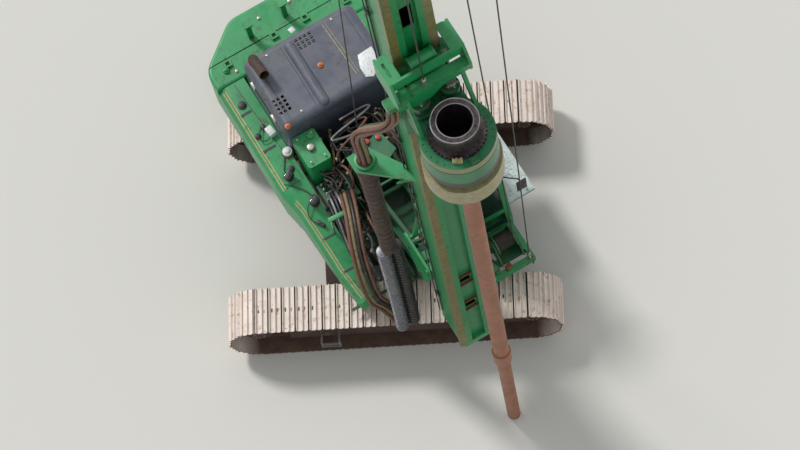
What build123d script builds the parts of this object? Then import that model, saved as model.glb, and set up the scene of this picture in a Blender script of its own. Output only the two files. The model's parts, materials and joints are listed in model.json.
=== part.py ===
from build123d import *
import math
import os

# A foundation drilling rig on tracks: an upper carriage that slews, a boom that carries a
# leader mast at its front, and a rotary drive that runs on the mast with a drill rod below it.
# Millimetres. X forward of the upper carriage, Y to its left, Z up. The origin is on the
# ground, on the slewing axis. The tracks stand turned from the upper carriage by TRACK_YAW.

os.makedirs("parts", exist_ok=True)

RUNNING_GAP = 0.3       # between faces that slide or turn on each other
PIN_GAP = 0.5           # round a hinge pin
SIDE_GAP = 10           # between the cheeks of a hinge
EYE_GAP = 14            # round the pin at a cylinder rod's eye

# Undercarriage, in its own frame, with X along the tracks
TRACK_YAW = 61.5
GAUGE = 3560
SHOE_WIDTH = 800
PITCH = 228.6
LINKS = 52
SPROCKET_TEETH = 23     # the chain takes every second one
TOOTH_DEPTH = 62        # from the pin line in to the sprocket's root
TOOTH_TIP = 8           # from the pin line out to a tooth's tip
SPROCKET_HALF = 40
RAIL_DEPTH = 55         # from the pin line in to the running face
RAIL_RISE = 50          # from the pin line out to the back of the shoe
RAIL_OFFSET = 85
RAIL_THICKNESS = 45
SHOE_PLATE = 20
SHOE_ROOT = 6           # what closes the gap between two shoes
GROUSER = 36
FRAME_WIDTH = 420
FRAME_BOTTOM = 340
FRAME_TOP = 720
FRAME_END = 80          # from the end wheels to the beam
FRAME_SLOPE = (260, 90)
SKIRT = 22
ROLLER_RADIUS = 115
ROLLER_LENGTH = 290
ROLLERS = 9
ROLLER_SHAFT = 45
TOP_ROLLER_RADIUS = 80
TOP_ROLLER_HALF = 125
IDLER_HALF = 130
IDLER_RIB = 45
IDLER_SHAFT = 60
CARBODY_TOP = 1000
CARBODY_BOTTOM = 430
CARBODY_HALF = 850
LEG_OFFSET = 900
LEG_WIDTH = 440
RING_TOP = 1125
RING_RADIUS = 900
RING_WIDTH = 160
STEP_X = (-1250, -950)
STEP_BAR = 30
STEP_TOP = 560
STEP_BOTTOM = 330

# Upper carriage
DECK_BOTTOM = 1250
BASE_TOP = 1260
BASE_BOTTOM = 1200
BASE_HALF = 700
FRONT = 1500
REAR = -2900
WEB_INNER = 300
WEB = 40
WEB_TOP = 1700
LUG_RISE = 150          # from the upper link's pivot up to the top of its lug
FRAME_RIBS = (-2700, -1250, -150)
RIB = 30
OUTRIGGERS = (-2800, -1200, -420, 1380)
DECK_OUTER = 1560
DECK_INNER = 1010
DECK_TOP = 1900
DECK_REAR = -2895
EDGE_RADIUS = 240
DECK_REAR_RADIUS = 260
NOSE_LENGTH = 900       # where the right deck slopes down and narrows to its front end
NOSE_TOP = 1560
NOSE_TAPER = 250
COUNTERWEIGHT_FRONT = REAR
COUNTERWEIGHT_REAR = -4050
COUNTERWEIGHT_TOP = 2150
COUNTERWEIGHT_BOTTOM = 1230
CORNER = (720, 800)     # the cut-off rear corners, along X and in from the side
CORNER_SLOPE = 60
CORNER_RADIUS = 420
TOP_RADIUS = 60
SLABS = 3
SLAB_GROOVE = 18
SEAM_X = -3360          # the joint between two castings, across the top
SEAM_DEPTH = 60
SOCKETS = ((-3240, -1170), (-3280, -240), (-3290, 370), (-3200, 1120))
SOCKET_SIZE = 130
SOCKET_HEIGHT = 50
SOCKET_HOLE = 70
POSTS = ((-3490, -580), (-3530, 110))
POST_SIZE = 90
POST_TOP = 2600
POST_CAP = 150
CAP_HEIGHT = 40

# Engine room
HOOD_FRONT = -1250
HOOD_REAR = -2750
HOOD_HALF = 1050
HOOD_TOP = 3000
HOOD_WALL = 20
HOOD_EDGE = 130
RIDGE = (-2540, -1390)
RIDGE_Y = -215
RIDGE_RADIUS = 105
RIDGE_RISE = 60         # how far the ridge stands above the hood
GRID_HOLE = 52
GRID_PITCH = 84
GRIDS = (((-2500, 50), (3, 4)), ((-1680, -850), (4, 3)))    # centre, holes along X and along Y
LOUVRES = 15
LOUVRE_START = -2590
LOUVRE_PITCH = 80
LOUVRE_WIDTH = 42
LOUVRE_HEIGHT = 330
LOUVRE_DROP = 160       # from the hood's top to the louvres
REAR_SLOTS = 6
REAR_SLOT_HALF = 420
REAR_SLOT_PITCH = 90
STACK = (-2620, -860)
STACK_RADIUS = 88
STACK_WALL = 8
STACK_RISE = 95
STACK_LENGTH = 480
STACK_SLOPE = 22
ENGINE = ((-2450, -1500), (-520, 620), 2600)
TANK = ((-1235, -600), (-985, -560), 2600)
TANK_EDGE = 60
VALVES = ((-560, -60), (-980, -400), 1950)
UNION_RADIUS = 24
UNION_HEIGHT = 60
MAIN_WINCH = (-700, 2080)
MAIN_WINCH_HALF = 300
MAIN_WINCH_RADIUS = 280
MAIN_CHEEK = 190
WINCH_BASE = 260
WINCH_SHAFT = 50
CHEEK = 30
DRUM_CORE = 0.68        # share of the flange's radius
FLANGE_PLATE = 25
DRUM_GAP = 8
SERVICE_POST = 60       # square tube of the frame between the main winch and the boom
SERVICE_X = (-380, 330)
SERVICE_RAIL = 2700
SERVICE_TOP = 3000
SERVICE_PLATE = ((-330, 10), (-420, 270), (20, 360), (170, 60))
RUNGS = 4
RUNG = 30
STANDS = (100, 230)      # the plate's feet on the first two rungs

# Cab and its walkways
CAB_REAR = -250
CAB_FRONT = 1520
CAB_FRONT_TOP = 1330
CAB_KNEE = 1650
CAB_RIGHT = 640
CAB_LEFT = 1570
CAB_BOTTOM = 1300
CAB_TOP = 3080
CAB_WALL = 45
CAB_RADIUS = 90
CAB_POST = 110
GLASS_LOW = 2080
GLASS_HIGH = 2880
SCREEN = (1960, 2870)
FOOT_SCREEN = (1440, 1860)
ROOF_WINDOW = (520, 1080)
RIGHT_WINDOW = (60, 1150)
QUARTER_WINDOW = (-150, 230)
DOOR_REAR = 330
DOOR_FRONT = 1230
DOOR_BOTTOM = 1420
DOOR_TOP = 2950
DOOR_GAP = 6
DOOR_FRAME = 80
DOOR_PANEL = 110
HINGE = (DOOR_REAR - 26, CAB_LEFT + 22)
KNUCKLE = 18
KNUCKLE_HEIGHT = 100
SEAT_Y = (880, 1330)
WALK_OUTER = 2180
WALK_FRONT = 1200
WALK_REAR = -400
WALK_TOP = 1380
WALK_GAP = 30
WALK_DEPTH = 60
GUSSET = 40
PLATFORM_FRONT = 2270
PLATFORM_LEFT = 1550
PLATFORM_TOP = 1400
PLATFORM_BAR = 80
PLATFORM_BARS = (CAB_FRONT, 1700, 1980)
AUX_WINCH = (1860, 1720)
AUX_WINCH_Y = 1200
AUX_WINCH_HALF = 190
AUX_WINCH_RADIUS = 190
AUX_CHEEK = 130

# Boom: lower arm from A to B, upper link from C to D, bracket round B, D, E and F
A = (600, 1750)
B = (1900, 2450)
C = (350, 2350)
D = (C[0] + B[0] - A[0], C[1] + B[1] - A[1])
E = (2300, 3300)
F = (1650, 3350)
G = (2320, 5900)
H = (1150, 1420)
ARM_ALONG = 900
ARM_BELOW = 210
ARM_HALF = 150
PIN = 60
SMALL_PIN = 40
CYLINDER_PIN = 30
LINK_Y = 230
LINK_THICKNESS = 60
BOOM_CYLINDER_Y = 130
MAST_CYLINDER_Y = 195

# Mast
MAST_REAR = 2450
MAST_FRONT = 3100
MAST_HALF = 310
MAST_WALL = 20
RAIL_FACE = 190
RECESS = 80
RAIL_LIP = 30
RAIL_LIP_DEPTH = 60
MAST_BOTTOM = 1700
MAST_JOINT = 10900
MAST_TOP = 19600
FOOT_BOTTOM = 1300
FLANGE = 30
FLANGE_RISE = 40        # how far the joint's flanges stand out at the sides and the rear
FLANGE_FRONT = 2850
WINDOW_SIDE = 35
LOWER_WINDOWS = (3000, 4050)
LOWER_WINDOW = 300
UPPER_WINDOWS = (13000, 14100, 15200, 16300, 17400, 18500)
UPPER_WINDOW = 550
LUG = 60
SHEAVE_RISE = 750       # from the mast's end up to the sheaves
HEAD_RIM = 350          # from the sheaves up to the top of the head
SHEAVE_Z = MAST_TOP + SHEAVE_RISE
HEAD_TOP = SHEAVE_Z + HEAD_RIM
SHEAVE_RADIUS = 330
SHEAVE_WIDTH = 80
SHEAVE_RIM = 20
SHEAVE_GROOVE = 45
SHEAVE_Y = (-150, 70)
SHEAVE_X = (2450, 3250)
HEAD_CHEEK = (250, 280)
JIB_Y = 1450
JIB_X = (2650, 2850)

# Drive
DRILL_X = 3994
CARRIAGE_BOTTOM = 10350
SLEDGE_TOP = 12200
SHOE_GAP = 5
SLEDGE_PLATE = 60
SLEDGE_SIDE = 50
SLEDGE_SHOE = 500
SLEDGE_SHOES = (CARRIAGE_BOTTOM, 11700)
YOKE_SIDE = (520, 560)
YOKE_REAR = 2950
YOKE_FRONT = 3540
YOKE_TOP = 12500
REAR_BEAM = ((3355, 3395), (12300, YOKE_TOP))
FRONT_BEAM = (3380, YOKE_FRONT)
STRUT_Y = (390, 440)
CORNER_PLATE = 20
FEED_DRUM = (3230, 12400)
FEED_DRUM_RADIUS = 105
FEED_DRUM_RIM = 15
FEED_DRUM_HALF = 190
MANIFOLD = ((3020, 3200), (-600, -395), (11300, 11420))
HOUSING_RADIUS = 520
HOUSING_BOTTOM = 10900
HOUSING_TOP = 11500
HOUSING_GROOVE = (11330, 11345)
HOUSING_NECK = 400
SADDLE_HALF = 380
SADDLE_DROP = 40
GUARD_RADIUS = 550
GUARD_WALL = 40
GUARD_BOTTOM = 10400
GUARD_TOP = 10780
SENSOR_BOX = ((4410, 4500), (-60, 50), 45)
SPINDLE_RADIUS = 315
SPINDLE_LIP = 335
SPINDLE_BORE = 235
SPINDLE_TOP = 11900
SPINDLE_BOTTOM = 10400
SPINDLE_FOOT = 60
RING_TEETH = 40
RING_ROOT = 378
RING_TIP = 398
ROD_RADIUS = 127
ROD_FLANGE = 230
ROD_FLANGE_HEIGHT = 50
ROD_TIP_RADIUS = 109.5
COLLAR_RADIUS = 150
COLLAR_TOP = 3150
COLLAR_BOTTOM = 2800
ROD_END = 50
MOTORS = ((3470, -225), (3470, 225))

# Hoses: from the valves round a hanging loop to the mast, in a sleeve, and on to the drive
SLEEVE = (2120, -790)
SLEEVE_RADIUS = 135
SLEEVE_BOTTOM = 4600
SLEEVE_TOP = 8000
CLAMP = (7880, 7940)
BEND_SHARE = 0.45       # how much of the shorter run an arc takes
LOOP_HOSE = 30
LOOP_PLACES = (-102, -34, 34, 102)
LOOP_ROUTE = [
    (2120, -790, 4600), (2120, -790, 3900), (2130, -792, 3150), (2116, -798, 2500), (2128, -804, 1980),
    (2123, -812, 1560), (2120, -820, 1285), (2038, -842, 1172), (1905, -880, 1129), (1772, -920, 1172),
    (1690, -965, 1285), (1676, -1045, 1510), (1662, -1140, 1790), (1440, -1130, 2120), (1090, -1040, 2400),
    (730, -900, 2550), (420, -780, 2540), (160, -700, 2450), (-50, -645, 2290), (-110, -630, 2110),
    (-110, -630, 1950),
]
DRIVE_HOSE = 25
DRIVE_PLACES = (-60, 0, 60)
DRIVE_ROUTE = [
    (2120, -790, 8000), (2120, -790, 8430), (2140, -820, 8880), (2260, -810, 9300), (2450, -760, 9680),
    (2680, -680, 10050), (2900, -600, 10420), (3050, -530, 10800), (3110, -500, 11080), (3110, -500, 11300),
]


# General shapes

def block(x, y, z):
    """A box between two values on each axis."""
    centre = Pos((x[0] + x[1]) / 2, (y[0] + y[1]) / 2, (z[0] + z[1]) / 2)
    return centre * Box(x[1] - x[0], y[1] - y[0], z[1] - z[0])


def slab_xz(outline, y):
    """A face drawn in X and Z, made solid between two values of Y."""
    return extrude(Plane.XZ.offset(-y[1]) * outline, amount=y[1] - y[0])


def slab_yz(outline, x):
    """A face drawn in Y and Z, made solid between two values of X."""
    return extrude(Plane.YZ.offset(x[0]) * outline, amount=x[1] - x[0])


def slab_xy(outline, z):
    """A face drawn in X and Y, made solid between two values of Z."""
    return extrude(Plane.XY.offset(z[0]) * outline, amount=z[1] - z[0])


def polygon(*points):
    return make_face(Polyline(*points, close=True))


def round_y(centre, radius, y):
    """A cylinder along Y round a point given in X and Z."""
    return slab_xz(Pos(*centre) * Circle(radius), y)


def round_z(centre, radius, z):
    """A cylinder along Z round a point given in X and Y."""
    return slab_xy(Pos(*centre) * Circle(radius), z)


def strap(*eyes):
    """The outline drawn tight round eyes given as (x, z, radius)."""
    rings = Sketch() + [Pos(x, z) * Circle(radius) for x, z, radius in eyes]
    return make_hull(rings.edges())


def both_sides(piece):
    """The piece and its mirror image across the X-Z plane."""
    return [piece, mirror(piece, Plane.XZ)]


def between(start, end, share):
    return tuple(a + (b - a) * share for a, b in zip(start, end))


# Tracks

PITCH_RADIUS = PITCH / (2 * math.sin(2 * math.pi / SPROCKET_TEETH))
HALF_WRAP = SPROCKET_TEETH / 4 * PITCH      # the chain's length round half an end wheel
WHEEL_SPAN = LINKS * PITCH / 2 - HALF_WRAP
TRACK_CENTRE_Z = PITCH_RADIUS + RAIL_RISE + SHOE_PLATE + GROUSER
RUNNING_RADIUS = PITCH_RADIUS - RAIL_DEPTH
SHOE_TOP = SHOE_PLATE + GROUSER

# One shoe with its three bars: (share of the pitch, height above the shoe's back)
SHOE_OUTLINE = [
    (0.00, SHOE_ROOT), (0.03, SHOE_TOP), (0.11, SHOE_TOP), (0.14, SHOE_PLATE), (0.46, SHOE_PLATE),
    (0.49, SHOE_TOP), (0.55, SHOE_TOP), (0.58, SHOE_PLATE), (0.86, SHOE_PLATE), (0.89, SHOE_TOP),
    (0.96, SHOE_TOP),
]


def pin_place(link):
    """The pin before a link; link 0 starts where the upper run leaves the sprocket."""
    along = (link % LINKS) * PITCH
    side = 1
    if along >= WHEEL_SPAN + HALF_WRAP:
        along -= WHEEL_SPAN + HALF_WRAP
        side = -1
    if along < WHEEL_SPAN:
        return (side * (along - WHEEL_SPAN / 2), side * PITCH_RADIUS)
    turn = (along - WHEEL_SPAN) / HALF_WRAP * math.pi
    return (side * (WHEEL_SPAN / 2 + PITCH_RADIUS * math.sin(turn)), side * PITCH_RADIUS * math.cos(turn))


def link_normal(link):
    """The direction out of the loop, square to one link."""
    start, end = pin_place(link), pin_place(link + 1)
    length = math.dist(start, end)
    return ((start[1] - end[1]) / length, (end[0] - start[0]) / length)


def link_point(link, share, height):
    """A point on one link: a share of its length along, and a height out from its pins."""
    along = between(pin_place(link), pin_place(link + 1), share)
    out = link_normal(link)
    return (along[0] + out[0] * height, along[1] + out[1] * height)


def loop_face(height):
    """The loop of straight links at a height from the pin line, with a corner at each bend."""
    corners = []
    for link in range(LINKS):
        before, after = link_normal(link - 1), link_normal(link)
        cosine = before[0] * after[0] + before[1] * after[1]
        if cosine < 1 - 1e-9:
            pin = pin_place(link)
            corners.append(tuple(pin[n] + (before[n] + after[n]) * height / (1 + cosine) for n in (0, 1)))
    return polygon(*corners)


def track_belt(side):
    shoes = polygon(*(link_point(link, share, RAIL_RISE + height)
                      for link in range(LINKS) for share, height in SHOE_OUTLINE))
    lift = Pos(0, TRACK_CENTRE_Z)
    middle = side * GAUGE / 2
    belt = slab_xz(lift * (shoes - loop_face(RAIL_RISE)), (middle - SHOE_WIDTH / 2, middle + SHOE_WIDTH / 2))
    rail = lift * (loop_face(RAIL_RISE + SHOE_ROOT / 2) - loop_face(-RAIL_DEPTH))
    for beside in (-RAIL_OFFSET, RAIL_OFFSET):
        low = middle + beside - RAIL_THICKNESS / 2
        belt += slab_xz(rail, (low, low + RAIL_THICKNESS))
    return belt


def toothed(root, tip, teeth):
    """A toothed outline round the origin; one tooth is (share of the tooth pitch, radius)."""
    tooth = [(-0.36, root), (-0.16, tip), (0.16, tip), (0.36, root)]
    step = 2 * math.pi / teeth
    return polygon(*((radius * math.cos((n + share) * step), radius * math.sin((n + share) * step))
                     for n in range(teeth) for share, radius in tooth))


def sprocket(side):
    middle = side * GAUGE / 2
    hub = (-WHEEL_SPAN / 2, TRACK_CENTRE_Z)
    rim = toothed(PITCH_RADIUS - TOOTH_DEPTH, PITCH_RADIUS + TOOTH_TIP, SPROCKET_TEETH)
    wheel = slab_xz(Pos(*hub) * rim, (middle - SPROCKET_HALF, middle + SPROCKET_HALF))
    # Final drive: (radius, start and end across the track, measured outwards)
    for radius, start, end in [(300, -60, 60), (230, 60, 210), (150, 210, 235), (215, SKIRT - FRAME_WIDTH / 2, -60)]:
        wheel += round_y(hub, radius, sorted((middle + side * start, middle + side * end)))
    return wheel


def idler(side):
    middle = side * GAUGE / 2
    centre = (WHEEL_SPAN / 2, TRACK_CENTRE_Z)
    rim = PITCH_RADIUS * math.cos(2 * math.pi / SPROCKET_TEETH) - RAIL_DEPTH - RUNNING_GAP
    wheel = round_y(centre, rim, (middle - IDLER_HALF, middle + IDLER_HALF))
    wheel += round_y(centre, rim + 30, (middle - IDLER_RIB, middle + IDLER_RIB))
    for y in (middle - IDLER_HALF, middle + IDLER_HALF - 35):
        ring = Pos(*centre) * (Circle(rim - 45) - Circle(110))
        wheel -= slab_xz(ring, (y, y + 35))
    return wheel + round_y(centre, IDLER_SHAFT, (middle - FRAME_WIDTH / 2, middle + FRAME_WIDTH / 2))


def roller_places():
    """Where the bottom rollers stand along the track."""
    span = WHEEL_SPAN - 2 * (RUNNING_RADIUS + ROLLER_RADIUS + 25)
    return [-span / 2 + span * n / (ROLLERS - 1) for n in range(ROLLERS)]


def rollers(side):
    middle = side * GAUGE / 2
    low = TRACK_CENTRE_Z - RUNNING_RADIUS + ROLLER_RADIUS + RUNNING_GAP
    high = TRACK_CENTRE_Z + RUNNING_RADIUS - TOP_ROLLER_RADIUS - RUNNING_GAP
    skirt = FRAME_WIDTH / 2 - SKIRT
    wheels = []
    for x in roller_places():
        wheel = round_y((x, low), ROLLER_RADIUS, (middle - ROLLER_LENGTH / 2, middle + ROLLER_LENGTH / 2))
        wheels.append(wheel + round_y((x, low), ROLLER_SHAFT, (middle - skirt, middle + skirt)))
    for x in (-WHEEL_SPAN / 4, WHEEL_SPAN / 4):
        wheels.append(round_y((x, high), TOP_ROLLER_RADIUS, (middle - TOP_ROLLER_HALF, middle + TOP_ROLLER_HALF)))
    return wheels


def track_frame(side):
    """The box beam inside the loop, with skirts for the rollers and a fork for the idler."""
    middle = side * GAUGE / 2
    low, high = middle - FRAME_WIDTH / 2, middle + FRAME_WIDTH / 2
    half = WHEEL_SPAN / 2 - PITCH_RADIUS - FRAME_END
    run, drop = FRAME_SLOPE
    outline = polygon((-half, FRAME_BOTTOM), (half, FRAME_BOTTOM), (half, FRAME_TOP - drop),
                      (half - run, FRAME_TOP), (-half + run, FRAME_TOP), (-half, FRAME_TOP - drop))
    roller_room = FRAME_BOTTOM + 90
    beam = slab_xz(outline, (low, high))
    beam -= block((-half - 1, half + 1), (low + SKIRT, high - SKIRT), (FRAME_BOTTOM - 1, roller_room))
    axle_z = TRACK_CENTRE_Z - RUNNING_RADIUS + ROLLER_RADIUS
    skirt_low = axle_z - ROLLER_SHAFT - 15
    for y in (low, high - SKIRT):
        beam += block((-half, half), (y, y + SKIRT), (skirt_low, FRAME_BOTTOM + 5))
        beam += slab_xz(polygon((half - 40, FRAME_BOTTOM + 40), (WHEEL_SPAN / 2 + 120, TRACK_CENTRE_Z - 90),
                                (WHEEL_SPAN / 2 + 120, TRACK_CENTRE_Z + 90), (half - 40, FRAME_TOP - 60)),
                        (y, y + SKIRT))
        beam -= round_y((WHEEL_SPAN / 2, TRACK_CENTRE_Z), IDLER_SHAFT + PIN_GAP, (y - 1, y + SKIRT + 1))
    inner = sorted((middle - side * FRAME_WIDTH / 2, middle - side * (FRAME_WIDTH / 2 - SKIRT)))
    drive_plate = strap((-WHEEL_SPAN / 2, TRACK_CENTRE_Z, 225), (-half + 200, TRACK_CENTRE_Z, 190))
    beam += slab_xz(drive_plate, inner)
    high_z = TRACK_CENTRE_Z + RUNNING_RADIUS - TOP_ROLLER_RADIUS
    for x in (-WHEEL_SPAN / 4, WHEEL_SPAN / 4):
        for y in (middle - TOP_ROLLER_HALF - 30, middle + TOP_ROLLER_HALF + RUNNING_GAP):
            beam += slab_xz(strap((x, FRAME_TOP, 70), (x, high_z, 45)), (y, y + 30 - RUNNING_GAP))
    return beam


def side_step(side):
    """The bar step that hangs on the outside of a track frame."""
    outer = side * (GAUGE / 2 + SHOE_WIDTH / 2 + 60)
    inner = side * (GAUGE / 2 + FRAME_WIDTH / 2)
    hang = sorted((outer - side * STEP_BAR, outer))
    step = None
    for x in STEP_X:
        arm = block((x - STEP_BAR / 2, x + STEP_BAR / 2), sorted((inner, outer)), (STEP_TOP - STEP_BAR, STEP_TOP))
        arm += block((x - STEP_BAR / 2, x + STEP_BAR / 2), hang, (STEP_BOTTOM, STEP_TOP))
        step = arm if step is None else step + arm
    for z in (STEP_BOTTOM, STEP_BOTTOM + 100):
        step += block((STEP_X[0] - STEP_BAR / 2, STEP_X[1] + STEP_BAR / 2), hang, (z, z + 25))
    return step


def carbody():
    """The middle of the undercarriage with its two cross beams and the lower slewing ring."""
    body = block((-CARBODY_HALF, CARBODY_HALF), (-CARBODY_HALF, CARBODY_HALF), (CARBODY_BOTTOM, CARBODY_TOP))
    end = (GAUGE - FRAME_WIDTH) / 2
    leg = polygon((-end, CARBODY_BOTTOM - 60), (end, CARBODY_BOTTOM - 60), (end, FRAME_TOP),
                  (CARBODY_HALF, CARBODY_TOP - 40), (-CARBODY_HALF, CARBODY_TOP - 40), (-end, FRAME_TOP))
    for x in (-LEG_OFFSET, LEG_OFFSET):
        body += slab_yz(leg, (x - LEG_WIDTH / 2, x + LEG_WIDTH / 2))
    ring = Circle(RING_RADIUS) - Circle(RING_RADIUS - RING_WIDTH)
    return body + slab_xy(ring, (CARBODY_TOP, RING_TOP))


# Upper carriage

def web_outline():
    """A main web with the lug that carries the boom's two pivots."""
    return polygon((REAR, BASE_TOP), (FRONT - 50, BASE_TOP), (FRONT - 50, BASE_TOP + 180),
                   (A[0] + 190, A[1] - 60), (A[0] + 190, A[1] + 90), (C[0] + 150, C[1] + 60),
                   (C[0] + 90, C[1] + LUG_RISE), (C[0] - 90, C[1] + LUG_RISE), (C[0] - 160, C[1] + 40),
                   (C[0] - 420, WEB_TOP), (REAR, WEB_TOP))


def main_frame():
    frame = block((REAR, FRONT), (-BASE_HALF, BASE_HALF), (BASE_BOTTOM, BASE_TOP))
    web = slab_xz(web_outline(), (WEB_INNER, WEB_INNER + WEB))
    for pivot, radius in ((A, PIN), (C, SMALL_PIN)):
        web -= round_y(pivot, radius + PIN_GAP, (WEB_INNER - 1, WEB_INNER + WEB + 1))
    for side in both_sides(web):
        frame += side
    for x in FRAME_RIBS:
        frame += block((x, x + RIB), (-WEB_INNER, WEB_INNER), (BASE_TOP, WEB_TOP - 60))
    for y in (-BOOM_CYLINDER_Y, BOOM_CYLINDER_Y):
        for ear in (y - 75, y + 50):
            lug = strap((H[0], H[1], 80), (H[0] - 60, BASE_TOP, 90), (H[0] + 60, BASE_TOP, 90))
            lug = slab_xz(lug, (ear, ear + 25)) - block((0, FRONT), (-400, 400), (0, BASE_TOP))
            frame += lug
        frame += round_y(H, CYLINDER_PIN, (y - 75, y + 75))
    for x in OUTRIGGERS:
        for side in (-1, 1):
            reach = DECK_OUTER - 60
            frame += block((x, x + WEB), sorted((side * BASE_HALF, side * reach)), (BASE_BOTTOM, DECK_BOTTOM))
    ring = Circle(RING_RADIUS) - Circle(RING_RADIUS - RING_WIDTH)
    return frame + slab_xy(ring, (RING_TOP + RUNNING_GAP, BASE_BOTTOM))


def counterweight():
    """Stacked castings with rounded rear corners, a seam, lifting sockets and two capped posts."""
    front, rear, half = COUNTERWEIGHT_FRONT, COUNTERWEIGHT_REAR, DECK_OUTER
    run, side = CORNER
    outline = polygon((front, -half), (front, half), (rear + run, half), (rear + CORNER_SLOPE, half - side),
                      (rear + CORNER_SLOPE, side - half), (rear + run, -half))
    outline = fillet(outline.vertices().sort_by(Axis.X)[:4], CORNER_RADIUS)
    body = slab_xy(outline, (COUNTERWEIGHT_BOTTOM, COUNTERWEIGHT_TOP))
    body = fillet(body.faces().sort_by(Axis.Z)[-1].edges(), TOP_RADIUS)
    height = (COUNTERWEIGHT_TOP - COUNTERWEIGHT_BOTTOM) / SLABS
    cut = outline - offset(outline, -SLAB_GROOVE)
    for n in range(1, SLABS):
        z = COUNTERWEIGHT_BOTTOM + n * height
        body -= slab_xy(cut, (z - SLAB_GROOVE / 2, z + SLAB_GROOVE / 2))
    body -= block((SEAM_X, SEAM_X + SLAB_GROOVE), (-half, half), (COUNTERWEIGHT_TOP - SEAM_DEPTH, COUNTERWEIGHT_TOP))
    for x, y in SOCKETS:
        place = Pos(x, y)
        ring = place * (Rectangle(SOCKET_SIZE, SOCKET_SIZE) - Rectangle(SOCKET_HOLE, SOCKET_HOLE))
        body += slab_xy(ring, (COUNTERWEIGHT_TOP - 5, COUNTERWEIGHT_TOP + SOCKET_HEIGHT))
    for x, y in POSTS:
        body += slab_xy(Pos(x, y) * Rectangle(POST_SIZE, POST_SIZE), (COUNTERWEIGHT_TOP - 5, POST_TOP))
        body += slab_xy(Pos(x, y) * Rectangle(POST_CAP, POST_CAP), (POST_TOP, POST_TOP + CAP_HEIGHT))
    return body


def side_deck(side, rear, front):
    """A tank and tool deck beside the main frame, rounded along its outer edge and its rear corner."""
    inner, outer = side * DECK_INNER, side * DECK_OUTER
    outermost = -1 if side > 0 else 0
    profile = polygon((inner, DECK_BOTTOM), (outer, DECK_BOTTOM), (outer, DECK_TOP), (inner, DECK_TOP))
    top = profile.vertices().group_by(Axis.Y)[-1].sort_by(Axis.X)
    profile = fillet(top[outermost], EDGE_RADIUS)
    plan = polygon((rear, inner), (front, inner), (front, outer), (rear, outer))
    back = plan.vertices().group_by(Axis.X)[0].sort_by(Axis.Y)
    plan = fillet(back[outermost], DECK_REAR_RADIUS)
    return slab_yz(profile, (rear, front)) & slab_xy(plan, (DECK_BOTTOM, DECK_TOP))


def right_deck():
    """The long deck, whose front end slopes down and narrows."""
    deck = side_deck(-1, DECK_REAR, FRONT)
    start = FRONT - NOSE_LENGTH
    above = DECK_TOP + 50
    slope = polygon((start, DECK_TOP), (FRONT, NOSE_TOP), (FRONT + 10, NOSE_TOP), (FRONT + 10, above), (start, above))
    deck -= slab_xz(slope, (-DECK_OUTER - 1, -DECK_INNER + 1))
    beside = -DECK_OUTER - 50
    taper = polygon((start, -DECK_OUTER), (FRONT, NOSE_TAPER - DECK_OUTER), (FRONT + 10, NOSE_TAPER - DECK_OUTER),
                    (FRONT + 10, beside), (start, beside))
    return deck - slab_xy(taper, (DECK_BOTTOM - 1, DECK_TOP + 1))


def hood_form(inset):
    """The hood's rounded outer form, drawn in on every side but downwards."""
    form = block((HOOD_REAR + inset, HOOD_FRONT - inset), (inset - HOOD_HALF, HOOD_HALF - inset),
                 (DECK_TOP - inset, HOOD_TOP - inset))
    edges = form.edges().filter_by(Axis.Z) + form.faces().sort_by(Axis.Z)[-1].edges()
    return fillet(edges, HOOD_EDGE - inset)


def hood():
    """The engine hood: a shell open below, with a round ridge, vent grids, louvres and rear slots."""
    inside = hood_form(HOOD_WALL)
    shell = hood_form(0) - inside
    centre_z = HOOD_TOP + RIDGE_RISE - RIDGE_RADIUS
    ridge = slab_yz(Pos(RIDGE_Y, centre_z) * Circle(RIDGE_RADIUS), RIDGE)
    for x in RIDGE:
        ridge += Pos(x, RIDGE_Y, centre_z) * Sphere(RIDGE_RADIUS)
    shell += ridge - inside
    through = (HOOD_TOP - HOOD_WALL - 1, HOOD_TOP + 1)
    for (x, y), (along, across) in GRIDS:
        places = Pos(x, y) * GridLocations(GRID_PITCH, GRID_PITCH, along, across)
        shell -= [slab_xy(place * Rectangle(GRID_HOLE, GRID_HOLE), through) for place in places]
    high = HOOD_TOP - LOUVRE_DROP
    for y in (-HOOD_HALF, HOOD_HALF):
        wall = (y - HOOD_WALL - 1, y + HOOD_WALL + 1)
        starts = [LOUVRE_START + n * LOUVRE_PITCH for n in range(LOUVRES)]
        shell -= [block((x, x + LOUVRE_WIDTH), wall, (high - LOUVRE_HEIGHT, high)) for x in starts]
    wall = (HOOD_REAR - 1, HOOD_REAR + HOOD_WALL + 1)
    tops = [high - n * REAR_SLOT_PITCH for n in range(REAR_SLOTS)]
    shell -= [block(wall, (-REAR_SLOT_HALF, REAR_SLOT_HALF), (z - REAR_SLOT_PITCH / 2, z)) for z in tops]
    return shell


def engine():
    x, y, top = ENGINE
    room = block((x[0] - 10, x[1] + 10), (-WEB_INNER - WEB, WEB_INNER + WEB), (BASE_TOP - 1, WEB_TOP + RUNNING_GAP))
    return block(x, y, (BASE_TOP, top)) - room


def exhaust_stack():
    """A short stub on the hood and a pipe that leans forward, open at its mouth."""
    knee = HOOD_TOP + STACK_RISE
    place = Pos(*STACK, knee) * Rot(0, 90 - STACK_SLOPE, 0)
    pipe = round_z(STACK, STACK_RADIUS, (HOOD_TOP, knee)) + Pos(*STACK, knee) * Sphere(STACK_RADIUS)
    pipe += place * Pos(0, 0, STACK_LENGTH / 2) * Cylinder(STACK_RADIUS, STACK_LENGTH)
    return pipe - place * Pos(0, 0, STACK_LENGTH * 0.75) * Cylinder(STACK_RADIUS - STACK_WALL, STACK_LENGTH * 0.55)


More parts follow.
